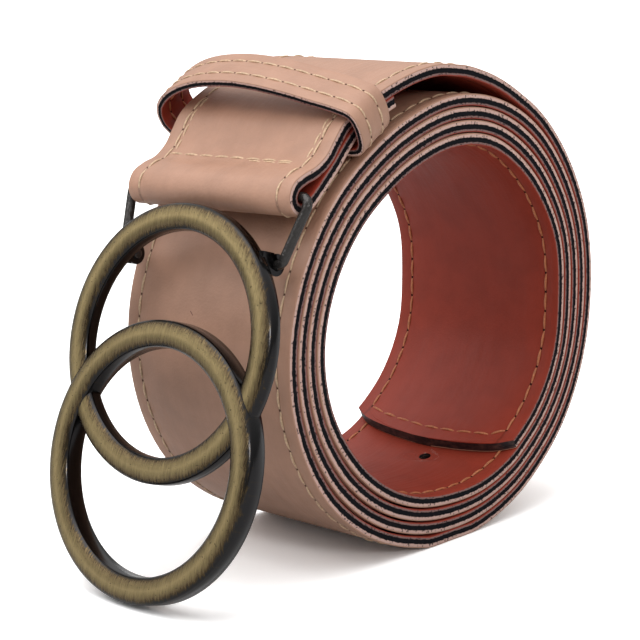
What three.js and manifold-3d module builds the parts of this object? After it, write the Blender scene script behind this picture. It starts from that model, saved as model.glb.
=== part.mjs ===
// Double ring belt, rolled up and standing on its roll: a three-ply strap with its end
// folded round a wire bail, a stitched keeper loop and one cast double ring.
// Millimetres, +Z up. X runs along the axis of the roll, the buckle is at the front (-Y).
import * as THREE from "three";
import Module from "manifold-3d";

const wasm = await Module();
wasm.setup();
const { Manifold, Mesh } = wasm;

// Strap
const STRAP_WIDTH = 45;
const FACE_PLY = 0.95;
const CORE_PLY = 0.82;
const LINING_PLY = 0.62;
const PLY_GAP = 0.03;
const STRAP_THICK = FACE_PLY + CORE_PLY + LINING_PLY + 2 * PLY_GAP;

// Roll: centre of the hollow, seen along the axis of the roll. Directions run from +Y (0)
// by the top (90), and turn angles go on counting along the strap from its inner tip.
const HOLLOW_RADIUS = 37.5;
const TURN_GAP = 1.0;
const FOOT_DIR = 270;
const FOOT_PRESS = 0.3;
const FOOT_REACH_DEG = 45;
const FOOT_HALF_DEG = 9;
const FOOT_HOLLOW = 0.03;
const STEP_DEG = 9;
const TIP_DEG = -54;
const TOP_DEG = 1530;
const OUTER_TURN = 3;

// Radius of the hollow as a share of HOLLOW_RADIUS and the space between turns as a share
// of TURN_GAP. The last row closes on the first one, a turn further out.
const ROLL_TABLE = [
  { dir: -54, hollow: 0.984, gap: 0.08 },
  { dir: -36, hollow: 1.008, gap: 0.1 },
  { dir: -18, hollow: 1.016, gap: 0.1 },
  { dir: 0, hollow: 0.997, gap: 0.27 },
  { dir: 18, hollow: 1.013, gap: 0.19 },
  { dir: 36, hollow: 0.999, gap: 0.29 },
  { dir: 54, hollow: 0.989, gap: 0.37 },
  { dir: 72, hollow: 0.987, gap: 0.21 },
  { dir: 90, hollow: 0.963, gap: 0.28 },
  { dir: 108, hollow: 0.941, gap: 0.25 },
  { dir: 126, hollow: 0.949, gap: 0.22 },
  { dir: 144, hollow: 0.989, gap: 0.21 },
  { dir: 162, hollow: 1.032, gap: 0.2 },
  { dir: 180, hollow: 1.064, gap: 0.2 },
  { dir: 198, hollow: 1.059, gap: 0.35 },
  { dir: 216, hollow: 1.027, gap: 0.58 },
  { dir: 234, hollow: 1.003, gap: 0.49 },
  { dir: 252, hollow: 0.989, gap: 0.38 },
  { dir: 270, hollow: 0.987, gap: 0.4 },
  { dir: 288, hollow: 1.019, gap: 0.21 },
  { dir: 306, hollow: null, gap: 0.08 },
];

// Keeper: a narrow three-ply loop round the strap end and its flap
const KEEPER_WIDTH = 10.4;
const KEEPER_FACE = 0.62;
const KEEPER_CORE = 0.48;
const KEEPER_LINING = 0.46;
const KEEPER_THICK = KEEPER_FACE + KEEPER_CORE + KEEPER_LINING + 2 * PLY_GAP;
const KEEPER_EASE = 1.32;
const KEEPER_SIDE = 0.55;
const KEEPER_LOOSE = 6.0;
const KEEPER_SKEW = 1.4;
const KEEPER_NEAR = KEEPER_THICK + KEEPER_SKEW + KEEPER_SIDE;
const KEEPER_FAR = KEEPER_THICK + KEEPER_LOOSE;
const KEEPER_ROOM = 5.88;
const KEEPER_CROWN = KEEPER_THICK + KEEPER_ROOM;
const KEEPER_SLACK = 1.7;
const KEEPER_DEPTH = 2 * STRAP_THICK + KEEPER_SLACK + KEEPER_THICK;
const KEEPER_RISE = 0.35;
const KEEPER_BUTT = 0.3;
const KEEPER_DIR = 123.4;

// Outer face of the keeper from its butt joint under the flap round the near edge. Across the
// strap: half is a share of half its width, near and far are shares of KEEPER_NEAR and
// KEEPER_FAR beyond. Square to it: crown is a share of KEEPER_CROWN above the face, depth of
// KEEPER_DEPTH below it.
const KEEPER_TABLE = [
  { half: 0.13, near: 0, far: 0, crown: 0, depth: 1 },
  { half: 0.53, near: 0, far: 0, crown: 0, depth: 1 },
  { half: 0.89, near: 0, far: 0, crown: 0, depth: 0.995 },
  { half: 1, near: 0.39, far: 0, crown: 0, depth: 0.93 },
  { half: 1, near: 0.84, far: 0, crown: 0, depth: 0.72 },
  { half: 1, near: 1, far: 0, crown: 0, depth: 0.42 },
  { half: 1, near: 1, far: 0, crown: 0, depth: 0.15 },
  { half: 1, near: 0.87, far: 0, crown: 0.08, depth: 0 },
  { half: 1, near: 0.57, far: 0, crown: 0.25, depth: 0 },
  { half: 0.96, near: 0, far: 0, crown: 0.4, depth: 0 },
  { half: 0.67, near: 0, far: 0, crown: 0.6, depth: 0 },
  { half: 0.38, near: 0, far: 0, crown: 0.79, depth: 0 },
  { half: 0.09, near: 0, far: 0, crown: 0.93, depth: 0 },
  { half: -0.2, near: 0, far: 0, crown: 1, depth: 0 },
  { half: -0.49, near: 0, far: 0, crown: 0.97, depth: 0 },
  { half: -0.73, near: 0, far: 0, crown: 0.87, depth: 0 },
  { half: -0.96, near: 0, far: 0, crown: 0.67, depth: 0 },
  { half: -1, near: 0, far: 0.45, crown: 0.39, depth: 0 },
  { half: -1, near: 0, far: 0.86, crown: 0.03, depth: 0 },
  { half: -1, near: 0, far: 1, crown: 0, depth: 0.32 },
  { half: -1, near: 0, far: 0.93, crown: 0, depth: 0.65 },
  { half: -1, near: 0, far: 0.65, crown: 0, depth: 0.9 },
  { half: -1, near: 0, far: 0, crown: 0, depth: 1.02 },
  { half: -0.53, near: 0, far: 0, crown: 0, depth: 1.01 },
  { half: -0.18, near: 0, far: 0, crown: 0, depth: 1 },
];

// Wire bail
const WIRE_RADIUS = 1.0;
const WIRE_SIDES = 10;
const WIRE_BEND = 1.7;
const BAIL_SIDE = 1.3;
const BAIL_HALF_WIDTH = STRAP_WIDTH / 2 + BAIL_SIDE + WIRE_RADIUS;
const BAIL_LENGTH = 13.85;
const BAIL_LEAN_DEG = 19.45;
const BAIL_FOOT_SIDE = 0.15;
const BAIL_SHIFT = -0.7;

// Strap end: it lifts off the roll, is folded round the bar of the bail and comes back as a
// flap, which leaves room above the roll for the keeper
const FLAP_ROOM = KEEPER_THICK + 2 * KEEPER_EASE;
const BAR_CLEARANCE = 0.2;
const BAR_DIR = 146.9;
const BAR_ROOM = 0.965;
const FOLD_SAG_Y = 0.75;
const FOLD_SAG_Z = -1.3;

// Lift of the outermost turn as a share of the full height of the strap end
const LIFT_TABLE = [
  { turn: 1485, share: 0 },
  { turn: 1503, share: 0.07 },
  { turn: 1512, share: 0.21 },
  { turn: 1521, share: 0.36 },
  { turn: 1530, share: 0.53 },
];

// Upper run of the strap end: share is of the room and the flap under it, eye is a share of
// the wire's diameter added over that, far is the share of the fold's sag at the far edge
const UPPER_TABLE = [
  { dir: 96.4, share: 0.688, eye: 0, far: 0 },
  { dir: 102.9, share: 0.786, eye: 0, far: 0 },
  { dir: 109.6, share: 0.851, eye: 0, far: 0 },
  { dir: 117.8, share: 0.944, eye: 0, far: 0 },
  { dir: 124.5, share: 1.036, eye: 0, far: 0.2 },
  { dir: 129.1, share: 1.043, eye: 0, far: 0.4 },
  { dir: 132.9, share: 0.914, eye: 0, far: 0.6 },
  { dir: 136.5, share: 0.814, eye: 0, far: 0.8 },
  { dir: 140.1, share: 0.75, eye: 0.53, far: 1 },
];

// Nose of the fold: direction round the bar and ease as a share of the wire's radius
const NOSE_TABLE = [
  { around: 84, ease: 0.75 },
  { around: 131, ease: 0 },
  { around: 180, ease: 0 },
  { around: 219, ease: 0.15 },
  { around: 257, ease: 0.23 },
  { around: 298, ease: 0.1 },
];

// Flap: room is a share of FLAP_ROOM between the roll and the flap
const FLAP_TABLE = [
  { dir: 145.7, room: 0.786, far: 1 },
  { dir: 141.4, room: 0.692, far: 0.9 },
  { dir: 136.5, room: 0.704, far: 0.7 },
  { dir: 132.3, room: 0.845, far: 0.5 },
  { dir: 128.4, room: 0.986, far: 0.3 },
  { dir: 124.0, room: 1.044, far: 0.1 },
  { dir: 118.4, room: 0.9, far: 0 },
  { dir: 113.0, room: 0.822, far: 0 },
];

// Tip: the strap's end bulges beyond its corners. back is a share of TIP_BULGE behind the
// foremost point, half a share of half the strap's width there.
const TIP_BULGE = 5.1;
const TIP_TABLE = [
  { back: 0, half: 0.1 },
  { back: 0.04, half: 0.2 },
  { back: 0.12, half: 0.4 },
  { back: 0.27, half: 0.62 },
  { back: 0.47, half: 0.8 },
  { back: 0.67, half: 0.9 },
  { back: 1, half: 1 },
];

// Prong holes beside the centre line of the strap, measured along it from the tip
const HOLE_RADIUS = 1.35;
const HOLE_PITCH = 25;
const HOLE_FIRST = 140;
const HOLE_OFFSET = 3.3;
const HOLE_COUNT = 5;
const HOLE_REACH = 0.05;

// Double ring: two rings of one size cast as one, the lower one proud of the upper one. It
// hangs on the bail by two lugs and leans out until its lower edge meets the floor.
const RING_OUTER = 27.3;
const RING_BAND = 5.3;
const RING_DOME = 1.35;
const RING_SIDES = 64;
const DOME_STEPS = 6;
const RING_SPACING = 22.95;
const UPPER_BACK = 2.3;
const LOWER_PROUD = 0.8;
const LOWER_BACK = 2.85;
const RING_ROLL_DEG = 2.8;
const FLOOR_CLEARANCE = 0.05;
const LUG_SPREAD = 38.2;
const LUG_THICK = 2.6;
const LUG_RADIUS = 2.15;
const LUG_RISE = 1.55;
const LUG_STAND = 1.15;
const LUG_ROOT = 0.8;
const PIN_CLEARANCE = 0.18;
const PIN_PROUD = 0.6;
const PEG_RADIUS = 1.2;
const PEG_LENGTH = 4.0;
const PEG_HEAD_RADIUS = 1.6;
const PEG_HEAD = 1.1;
const PEG_INSET = 3.3;

const rad = (deg) => (deg * Math.PI) / 180;

// Solids from rings of points: each ring is a closed loop of equal length
function loft(rings, closed) {
  const sides = rings[0].length;
  const count = rings.length;
  const vertices = [];
  rings.forEach((ring) => ring.forEach((p) => vertices.push(p[0], p[1], p[2])));
  const faces = [];
  const last = closed ? count : count - 1;
  for (let i = 0; i < last; i += 1) {
    const a = i * sides;
    const b = ((i + 1) % count) * sides;
    for (let k = 0; k < sides; k += 1) {
      const m = (k + 1) % sides;
      faces.push(a + k, a + m, b + m);
      faces.push(a + k, b + m, b + k);
    }
  }
  if (!closed) {
    const end = (count - 1) * sides;
    for (let k = 1; k < sides - 1; k += 1) {
      faces.push(0, k + 1, k);
      faces.push(end, end + k, end + k + 1);
    }
  }
  return solid(vertices, faces);
}

function solid(vertices, faces) {
  let volume = 0;
  const at = (i) => new THREE.Vector3(vertices[3 * i], vertices[3 * i + 1], vertices[3 * i + 2]);
  for (let i = 0; i < faces.length; i += 3) {
    volume += at(faces[i]).dot(at(faces[i + 1]).cross(at(faces[i + 2])));
  }
  const order = volume < 0 ? flip(faces) : faces;
  const mesh = new Mesh({
    numProp: 3,
    vertProperties: new Float32Array(vertices),
    triVerts: new Uint32Array(order),
  });
  mesh.merge();
  return new Manifold(mesh);
}

function flip(faces) {
  const turned = [];
  for (let i = 0; i < faces.length; i += 3) {
    turned.push(faces[i], faces[i + 2], faces[i + 1]);
  }
  return turned;
}

// Smooth curve through the rows of a table
function through(rows, divisions, closed) {
  const curve = new THREE.CatmullRomCurve3(
    rows.map((r) => new THREE.Vector3(r[0], r[1], r[2])),
    closed,
    "centripetal",
  );
  const total = closed ? rows.length * divisions : (rows.length - 1) * divisions;
  const points = [];
  for (let i = 0; i <= total; i += 1) {
    points.push(curve.getPoint(i / total));
  }
  if (closed) points.pop();
  return points;
}

function tableValue(table, key, column, x) {
  const rows = table.length;
  let i = 0;
  while (i < rows - 2 && x > table[i + 1][key]) i += 1;
  const a = table[i];
  const b = table[i + 1];
  const t = Math.min(Math.max((x - a[key]) / (b[key] - a[key]), 0), 1);
  const before = table[Math.max(i - 1, 0)];
  const after = table[Math.min(i + 2, rows - 1)];
  const m0 = (b[column] - before[column]) / 2;
  const m1 = (after[column] - a[column]) / 2;
  const t2 = t * t;
  const t3 = t2 * t;
  return (
    (2 * t3 - 3 * t2 + 1) * a[column] +
    (t3 - 2 * t2 + t) * m0 +
    (-2 * t3 + 3 * t2) * b[column] +
    (t3 - t2) * m1
  );
}

// The roll: hollow and pitch in a direction, and the outer face of a turn
const rollRows = ROLL_TABLE.map((row, i) => {
  const first = ROLL_TABLE[0];
  const closing = first.hollow * HOLLOW_RADIUS + STRAP_THICK + first.gap * TURN_GAP;
  const hollow = i === ROLL_TABLE.length - 1 ? closing : row.hollow * HOLLOW_RADIUS;
  return { dir: row.dir, hollow, gap: row.gap * TURN_GAP };
});

function roundRadius(turnDeg) {
  const whole = Math.floor((turnDeg - TIP_DEG) / 360 + 1e-9);
  const dir = turnDeg - 360 * whole;
  const hollow = tableValue(rollRows, "dir", "hollow", dir);
  const pitch = STRAP_THICK + tableValue(rollRows, "dir", "gap", dir);
  return hollow + whole * pitch + STRAP_THICK;
}

const ROLL_Y = 0;
const TIP_STATIONS = TIP_TABLE.length - 1;
const ROLL_HEIGHT = roundRadius(FOOT_DIR + 360 * OUTER_TURN) - FOOT_PRESS;

function liftedAbove(dir, share, eye) {
  const gap = tableValue(rollRows, "dir", "gap", dir) * Math.max(1 - share, 0);
  return STRAP_THICK + gap + share * (FLAP_ROOM + STRAP_THICK) + eye * 2 * WIRE_RADIUS;
}

// Radius of the outer face of the strap at an angle along the roll. The outermost turn is
// flat where it stands on the floor, and stands on the two ends of that flat.
function faceRadius(turnDeg) {
  const start = LIFT_TABLE[0].turn;
  if (turnDeg > start) {
    const share = tableValue(LIFT_TABLE, "turn", "share", turnDeg);
    return roundRadius(turnDeg - 360) + liftedAbove(turnDeg - 1440, share, 0);
  }
  const off = turnDeg - (FOOT_DIR + 360 * OUTER_TURN);
  const round = roundRadius(turnDeg);
  if (Math.abs(off) > FOOT_REACH_DEG) return round;
  const hollow = FOOT_HOLLOW * Math.max(1 - Math.abs(off) / FOOT_HALF_DEG, 0);
  const flat = (ROLL_HEIGHT - hollow) / Math.cos(rad(off));
  return Math.abs(off) <= FOOT_HALF_DEG ? flat : Math.min(round, flat);
}

const polar = (dir, r) => [ROLL_Y + r * Math.cos(rad(dir)), ROLL_HEIGHT + r * Math.sin(rad(dir))];
const aboveRoll = (dir, rise) => polar(dir, roundRadius(dir + 360 * OUTER_TURN) + rise);

const barNear = aboveRoll(
  BAR_DIR,
  BAR_ROOM * FLAP_ROOM + STRAP_THICK + BAR_CLEARANCE + WIRE_RADIUS,
);
const barFar = [barNear[0] + FOLD_SAG_Y, barNear[1] + FOLD_SAG_Z];
const barMiddle = [(barNear[0] + barFar[0]) / 2, (barNear[1] + barFar[1]) / 2];
const PIN_X = BAIL_SHIFT;
const PIN_Y = barMiddle[0] - BAIL_LENGTH * Math.sin(rad(BAIL_LEAN_DEG));
const PIN_Z = barMiddle[1] - BAIL_LENGTH * Math.cos(rad(BAIL_LEAN_DEG));

// Points of the strap end at the near edge, with the share of the sag at the far edge
function endPoints() {
  const upper = UPPER_TABLE.map((r) => [
    ...aboveRoll(r.dir, liftedAbove(r.dir, r.share, r.eye)),
    r.far,
  ]);
  const nose = NOSE_TABLE.map((r) => {
    const d = STRAP_THICK + BAR_CLEARANCE + WIRE_RADIUS * (1 + r.ease);
    return [
      barNear[0] + d * Math.cos(rad(r.around)),
      barNear[1] + d * Math.sin(rad(r.around)),
      1,
    ];
  });
  const flap = FLAP_TABLE.map((r) => [...aboveRoll(r.dir, r.room * FLAP_ROOM), r.far]);
  return [...upper, ...nose, ...flap];
}

// Stations along the strap: outer face at the near and far edge, the direction outward and
// the share of the strap's width
function strapStations() {
  const onTurn = (deg) => {
    const p = polar(deg, faceRadius(deg));
    const n = [Math.cos(rad(deg)), Math.sin(rad(deg))];
    return { near: p, far: p, nearOut: n, farOut: n, half: 1 };
  };
  const before = onTurn(TIP_DEG - STEP_DEG);
  const corner = onTurn(TIP_DEG);
  const stations = TIP_TABLE.slice(0, TIP_STATIONS).map((row) => {
    const beyond = ((1 - row.back) * TIP_BULGE) / HOLLOW_RADIUS / rad(STEP_DEG);
    const mix = (a, b) => a.map((v, k) => b[k] + beyond * (v - b[k]));
    const p = mix(before.near, corner.near);
    const n = mix(before.nearOut, corner.nearOut);
    return { near: p, far: p, nearOut: n, farOut: n, half: row.half };
  });
  for (let deg = TIP_DEG; deg <= TOP_DEG; deg += STEP_DEG) stations.push(onTurn(deg));
  const last = stations.slice(-2).map((s) => [s.near[0], s.near[1], 0]);
  const rows = [...last, ...endPoints()];
  const near = through(rows.map((r) => [0, r[0], r[1]]), 2, false);
  const far = through(
    rows.map((r) => [0, r[0] + FOLD_SAG_Y * r[2], r[1] + FOLD_SAG_Z * r[2]]),
    2,
    false,
  );
  const outward = (line, i) => {
    const a = line[Math.max(i - 1, 0)];
    const b = line[Math.min(i + 1, line.length - 1)];
    const length = Math.hypot(b.y - a.y, b.z - a.z);
    return [(b.z - a.z) / length, -(b.y - a.y) / length];
  };
  for (let i = 3; i < near.length; i += 1) {
    stations.push({
      near: [near[i].y, near[i].z],
      far: [far[i].y, far[i].z],
      nearOut: outward(near, i),
      farOut: outward(far, i),
      half: 1,
    });
  }
  return stations;
}

// One ply of the strap between two depths below its outer face
function strapPly(stations, top, bottom) {
  const rings = stations.map((s) => {
    const half = (s.half * STRAP_WIDTH) / 2;
    return [
      [half, s.near[0] - top * s.nearOut[0], s.near[1] - top * s.nearOut[1]],
      [-half, s.far[0] - top * s.farOut[0], s.far[1] - top * s.farOut[1]],
      [-half, s.far[0] - bottom * s.farOut[0], s.far[1] - bottom * s.farOut[1]],
      [half, s.near[0] - bottom * s.nearOut[0], s.near[1] - bottom * s.nearOut[1]],
    ];
  });
  return loft(rings, false);
}

// Cutters for the prong holes, each reaching through its own turn only
function holeCutters(stations) {
  const cutters = [];
  const middle = (s) => {
    const depth = STRAP_THICK / 2;
    return [s.near[0] - depth * s.nearOut[0], s.near[1] - depth * s.nearOut[1]];
  };
  let run = 0;
  let next = HOLE_FIRST;
  for (let i = 1; i < stations.length && cutters.length < HOLE_COUNT; i += 1) {
    const a = middle(stations[i - 1]);
    const b = middle(stations[i]);
    const length = Math.hypot(b[0] - a[0], b[1] - a[1]);
    while (next <= run + length && cutters.length < HOLE_COUNT) {
      const t = (next - run) / length;
      const y = a[0] + t * (b[0] - a[0]);
      const z = a[1] + t * (b[1] - a[1]);
      const out = [(b[1] - a[1]) / length, -(b[0] - a[0]) / length];
      const reach = STRAP_THICK + 2 * HOLE_REACH;
      const tilt = (Math.atan2(out[1], out[0]) * 180) / Math.PI;
      cutters.push(
        Manifold.cylinder(reach, HOLE_RADIUS, HOLE_RADIUS, 14, true)
          .rotate([0, 90, 0])
          .rotate([0, 0, 90])
          .rotate([tilt, 0, 0])
          .translate([HOLE_OFFSET, y, z]),
      );
      next += HOLE_PITCH;
    }
    run += length;
  }
  return Manifold.union(cutters);
}

// Outer face of the strap end in a direction from the roll's centre
function upperFace(stations, dir) {
  const dirOf = (s) => (Math.atan2(s.near[1] - ROLL_HEIGHT, s.near[0] - ROLL_Y) * 180) / Math.PI;
  let i = TIP_STATIONS + Math.round((TOP_DEG - TIP_DEG) / STEP_DEG);
  while (dirOf(stations[i + 1]) < dir) i += 1;
  const a = stations[i];
  const b = stations[i + 1];
  const t = (dir - dirOf(a)) / (dirOf(b) - dirOf(a));
  return [0, 1].map((k) => a.near[k] + t * (b.near[k] - a.near[k]));
}

// The keeper stands on the chord of the strap's face under it
function keeperSeat(stations) {
  const middle = upperFace(stations, KEEPER_DIR);
  const radius = Math.hypot(middle[0] - ROLL_Y, middle[1] - ROLL_HEIGHT);
  const reach = ((KEEPER_WIDTH / 2 / radius) * 180) / Math.PI;
  const back = upperFace(stations, KEEPER_DIR - reach);
  const front = upperFace(stations, KEEPER_DIR + reach);
  const length = Math.hypot(front[0] - back[0], front[1] - back[1]);
  const along = [(front[0] - back[0]) / length, (front[1] - back[1]) / length];
  const seat = [(front[0] + back[0]) / 2, (front[1] + back[1]) / 2];
  return { seat, along, out: [along[1], -along[0]] };
}

// Keeper loop as a band between two depths below its outer face
function keeperPly(stations, top, bottom) {
  const { seat, along, out } = keeperSeat(stations);
  const half = STRAP_WIDTH / 2;
  const rows = KEEPER_TABLE.map((r) => ({
    x: r.half * half + r.near * KEEPER_NEAR - r.far * KEEPER_FAR,
    n: r.crown * KEEPER_CROWN - r.depth * KEEPER_DEPTH,
  }));
  const ends = [
    { x: KEEPER_BUTT / 2, n: -KEEPER_DEPTH },
    ...rows,
    { x: -KEEPER_BUTT / 2, n: -KEEPER_DEPTH },
  ];
  const line = through(ends.map((r) => [r.x, r.n, 0]), 2, false);
  const place = (x, n, s) => [
    x - KEEPER_SKEW * (1 - s),
    seat[0] + (s - 0.5) * KEEPER_WIDTH * along[0] + (n + KEEPER_RISE) * out[0],
    seat[1] + (s - 0.5) * KEEPER_WIDTH * along[1] + (n + KEEPER_RISE) * out[1],
  ];
  const rings = line.map((p, i) => {
    const a = line[Math.max(i - 1, 0)];
    const b = line[Math.min(i + 1, line.length - 1)];
    const length = Math.hypot(b.x - a.x, b.y - a.y);
    const nx = (b.y - a.y) / length;
    const nn = -(b.x - a.x) / length;
    const outer = [p.x - top * nx, p.y - top * nn];
    const inner = [p.x - bottom * nx, p.y - bottom * nn];
    return [
      place(outer[0], outer[1], 1),
      place(outer[0], outer[1], 0),
      place(inner[0], inner[1], 0),
      place(inner[0], inner[1], 1),
    ];
  });
  return loft(rings, false);
}

// Round wire along a line of points whose corners are bent to a radius
function bentLine(corners, radius) {
  const line = [corners[0].clone()];
  for (let i = 1; i < corners.length - 1; i += 1) {
    const p = corners[i];
    const a = corners[i - 1].clone().sub(p).normalize();
    const b = corners[i + 1].clone().sub(p).normalize();
    const half = Math.acos(a.dot(b)) / 2;
    const cut = radius / Math.tan(half);
    const from = p.clone().addScaledVector(a, cut);
    const to = p.clone().addScaledVector(b, cut);
    const centre = p.clone().addScaledVector(a.clone().add(b).normalize(), radius / Math.sin(half));
    const u = from.clone().sub(centre);
    const v = to.clone().sub(centre);
    const sweep = u.angleTo(v);
    const steps = 5;
    for (let k = 0; k <= steps; k += 1) {
      const t = (k / steps) * sweep;
      const w = u
        .clone()
        .multiplyScalar(Math.sin(sweep - t) / Math.sin(sweep))
        .addScaledVector(v, Math.sin(t) / Math.sin(sweep));
      line.push(centre.clone().add(w));
    }
  }
  line.push(corners[corners.length - 1].clone());
  return line;
}

function wire(line, radius, sides) {
  let side = null;
  let before = null;
  const rings = line.map((p, i) => {
    const a = line[Math.max(i - 1, 0)];
    const b = line[Math.min(i + 1, line.length - 1)];
    const along = b.clone().sub(a).normalize();
    if (side === null) {
      side = new THREE.Vector3(0, 0, 1).cross(along).normalize();
    } else {
      side.applyQuaternion(new THREE.Quaternion().setFromUnitVectors(before, along));
      side.addScaledVector(along, -side.dot(along)).normalize();
    }
    before = along;
    const up = along.clone().cross(side);
    const ring = [];
    for (let k = 0; k < sides; k += 1) {
      const t = (2 * Math.PI * k) / sides;
      const q = p
        .clone()
        .addScaledVector(side, radius * Math.cos(t))
        .addScaledVector(up, radius * Math.sin(t));
      ring.push([q.x, q.y, q.z]);
    }
    return ring;
  });
  return loft(rings, false);
}

// The bail narrows from its bar to its pins, which point inward through the lugs
function wireBail() {
  const w = BAIL_HALF_WIDTH;
  const foot = lugX + LUG_THICK / 2 + BAIL_FOOT_SIDE + WIRE_RADIUS;
  const pinEnd = lugX - LUG_THICK / 2 - PIN_PROUD;
  const atPin = (x) => new THREE.Vector3(...onRing(x, pinUp, pinBack));
  const corners = [
    atPin(pinEnd),
    atPin(foot),
    new THREE.Vector3(w, barNear[0], barNear[1]),
    new THREE.Vector3(-w, barFar[0], barFar[1]),
    atPin(-foot),
    atPin(-pinEnd),
  ];
  return wire(bentLine(corners, WIRE_BEND), WIRE_RADIUS, WIRE_SIDES);
}

// The pin in the ring's own frame, and the lean at which the lower ring meets the floor
const lugX = LUG_SPREAD / 2;
const ringMid = RING_OUTER - RING_BAND / 2;
const pinUp = Math.sqrt(ringMid ** 2 - lugX ** 2) + LUG_RISE;
const pinBack = UPPER_BACK + LUG_STAND + LUG_RADIUS;
const rollCos = Math.cos(rad(RING_ROLL_DEG));
const rollSin = Math.sin(rad(RING_ROLL_DEG));
const footUp = (pinUp + RING_SPACING) * rollCos + RING_OUTER;
const footBack = pinBack - LOWER_BACK;
const footReach = Math.hypot(footUp, footBack);
const drop = Math.min((PIN_Z - FLOOR_CLEARANCE) / footReach, 1);
const ringLean = Math.acos(drop) - Math.atan2(footBack, footUp);
const leanCos = Math.cos(ringLean);
const leanSin = Math.sin(ringLean);

// A point of the double ring: x across, up from the middle of the upper ring in its own
// plane, and back behind its front edge
function onRing(x, up, back) {
  const h = up - pinUp;
  const u = x * rollSin + h * rollCos;
  const b = back - pinBack;
  return [
    PIN_X + x * rollCos - h * rollSin,
    PIN_Y + u * leanSin + b * leanCos,
    PIN_Z + u * leanCos - b * leanSin,
  ];
}

function ringBody(centreUp, front, back) {
  const inner = RING_OUTER - RING_BAND;
  const profile = [[RING_OUTER, back], [RING_OUTER, front]];
  for (let k = 1; k < DOME_STEPS; k += 1) {
    const t = (Math.PI * k) / DOME_STEPS;
    profile.push([ringMid + (RING_BAND / 2) * Math.cos(t), front - RING_DOME * Math.sin(t)]);
  }
  profile.push([inner, front], [inner, back]);
  const rings = [];
  for (let i = 0; i < RING_SIDES; i += 1) {
    const t = (2 * Math.PI * i) / RING_SIDES;
    rings.push(
      profile.map(([r, d]) => onRing(r * Math.cos(t), centreUp + r * Math.sin(t), d)),
    );
  }
  return loft(rings, true);
}

// Round peg square to the plane of the rings
function ringPeg(up, from, to, radius) {
  const sides = 14;
  const rings = [from, to].map((d) => {
    const ring = [];
    for (let k = 0; k < sides; k += 1) {
      const t = (2 * Math.PI * k) / sides;
      ring.push(onRing(radius * Math.cos(t), up + radius * Math.sin(t), d));
    }
    return ring;
  });
  return loft(rings, false);
}

function doubleRing() {
  const parts = [
    ringBody(0, 0, UPPER_BACK),
    ringBody(-RING_SPACING, -LOWER_PROUD, LOWER_BACK),
  ];
  const holes = [];
  for (const side of [1, -1]) {
    const outline = [];
    for (let k = 0; k <= 10; k += 1) {
      const t = Math.PI * (k / 10 - 0.5);
      outline.push([pinUp - LUG_RADIUS * Math.sin(t), pinBack + LUG_RADIUS * Math.cos(t)]);
    }
    const root = UPPER_BACK - LUG_ROOT;
    outline.push([pinUp - LUG_RADIUS, root], [pinUp + LUG_RADIUS, root]);
    const bar = (ends, line) =>
      loft(ends.map((e) => line.map(([u, d]) => onRing(side * lugX + e, u, d))), false);
    parts.push(bar([-LUG_THICK / 2, LUG_THICK / 2], outline));
    const bore = [];
    const r = WIRE_RADIUS + PIN_CLEARANCE;
    for (let k = 0; k < 16; k += 1) {
      const t = (2 * Math.PI * k) / 16;
      bore.push([pinUp + r * Math.cos(t), pinBack + r * Math.sin(t)]);
    }
    holes.push(bar([-LUG_THICK, LUG_THICK], bore));
  }
  const pegUp = -RING_SPACING - RING_OUTER + PEG_INSET;
  const pegEnd = LOWER_BACK + PEG_LENGTH;
  parts.push(ringPeg(pegUp, LOWER_BACK - LUG_ROOT, pegEnd - PEG_HEAD / 2, PEG_RADIUS));
  parts.push(ringPeg(pegUp, pegEnd - PEG_HEAD, pegEnd, PEG_HEAD_RADIUS));
  return Manifold.union(parts).subtract(Manifold.union(holes));
}

// Materials
const finish = (color, metalness, roughness) =>
  new THREE.MeshStandardMaterial({ color, metalness, roughness });
const tanLeather = finish(0xc79a83, 0, 0.55);
const blackCore = finish(0x17181c, 0, 0.9);
const brownLining = finish(0x6b3327, 0, 0.65);
const blackSteel = finish(0x24262a, 0.8, 0.35);
const antiqueBrass = finish(0x8a7647, 0.9, 0.42);

function piece(name, body, material) {
  const data = body.getMesh();
  const geometry = new THREE.BufferGeometry();
  geometry.setAttribute(
    "position",
    new THREE.BufferAttribute(new Float32Array(data.vertProperties), data.numProp),
  );
  geometry.setIndex(new THREE.BufferAttribute(new Uint32Array(data.triVerts), 1));
  geometry.computeVertexNormals();
  const mesh = new THREE.Mesh(geometry, material);
  mesh.name = name;
  return mesh;
}

const stations = strapStations();
const cutters = holeCutters(stations);
const coreTop = FACE_PLY + PLY_GAP;
const coreBottom = coreTop + CORE_PLY;
const liningTop = coreBottom + PLY_GAP;
const keeperCoreTop = KEEPER_FACE + PLY_GAP;
const keeperCoreBottom = keeperCoreTop + KEEPER_CORE;
const keeperLiningTop = keeperCoreBottom + PLY_GAP;

const group = new THREE.Group();
group.name = "double_ring_belt";
group.add(
  piece("strap_face", strapPly(stations, 0, FACE_PLY).subtract(cutters), tanLeather),
  piece("strap_core", strapPly(stations, coreTop, coreBottom).subtract(cutters), blackCore),
  piece("strap_lining", strapPly(stations, liningTop, STRAP_THICK).subtract(cutters), brownLining),
  piece("keeper_face", keeperPly(stations, 0, KEEPER_FACE), tanLeather),
  piece("keeper_core", keeperPly(stations, keeperCoreTop, keeperCoreBottom), blackCore),
  piece("keeper_lining", keeperPly(stations, keeperLiningTop, KEEPER_THICK), brownLining),
  piece("wire_bail", wireBail(), blackSteel),
  piece("double_ring", doubleRing(), antiqueBrass),
);

// The part stands on z = 0 with its box centred on x = 0 and y = 0
const box = new THREE.Box3().setFromObject(group);
const centre = box.getCenter(new THREE.Vector3());
group.children.forEach((mesh) => {
  mesh.geometry.translate(-centre.x, -centre.y, -box.min.z);
});

export default group;
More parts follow.
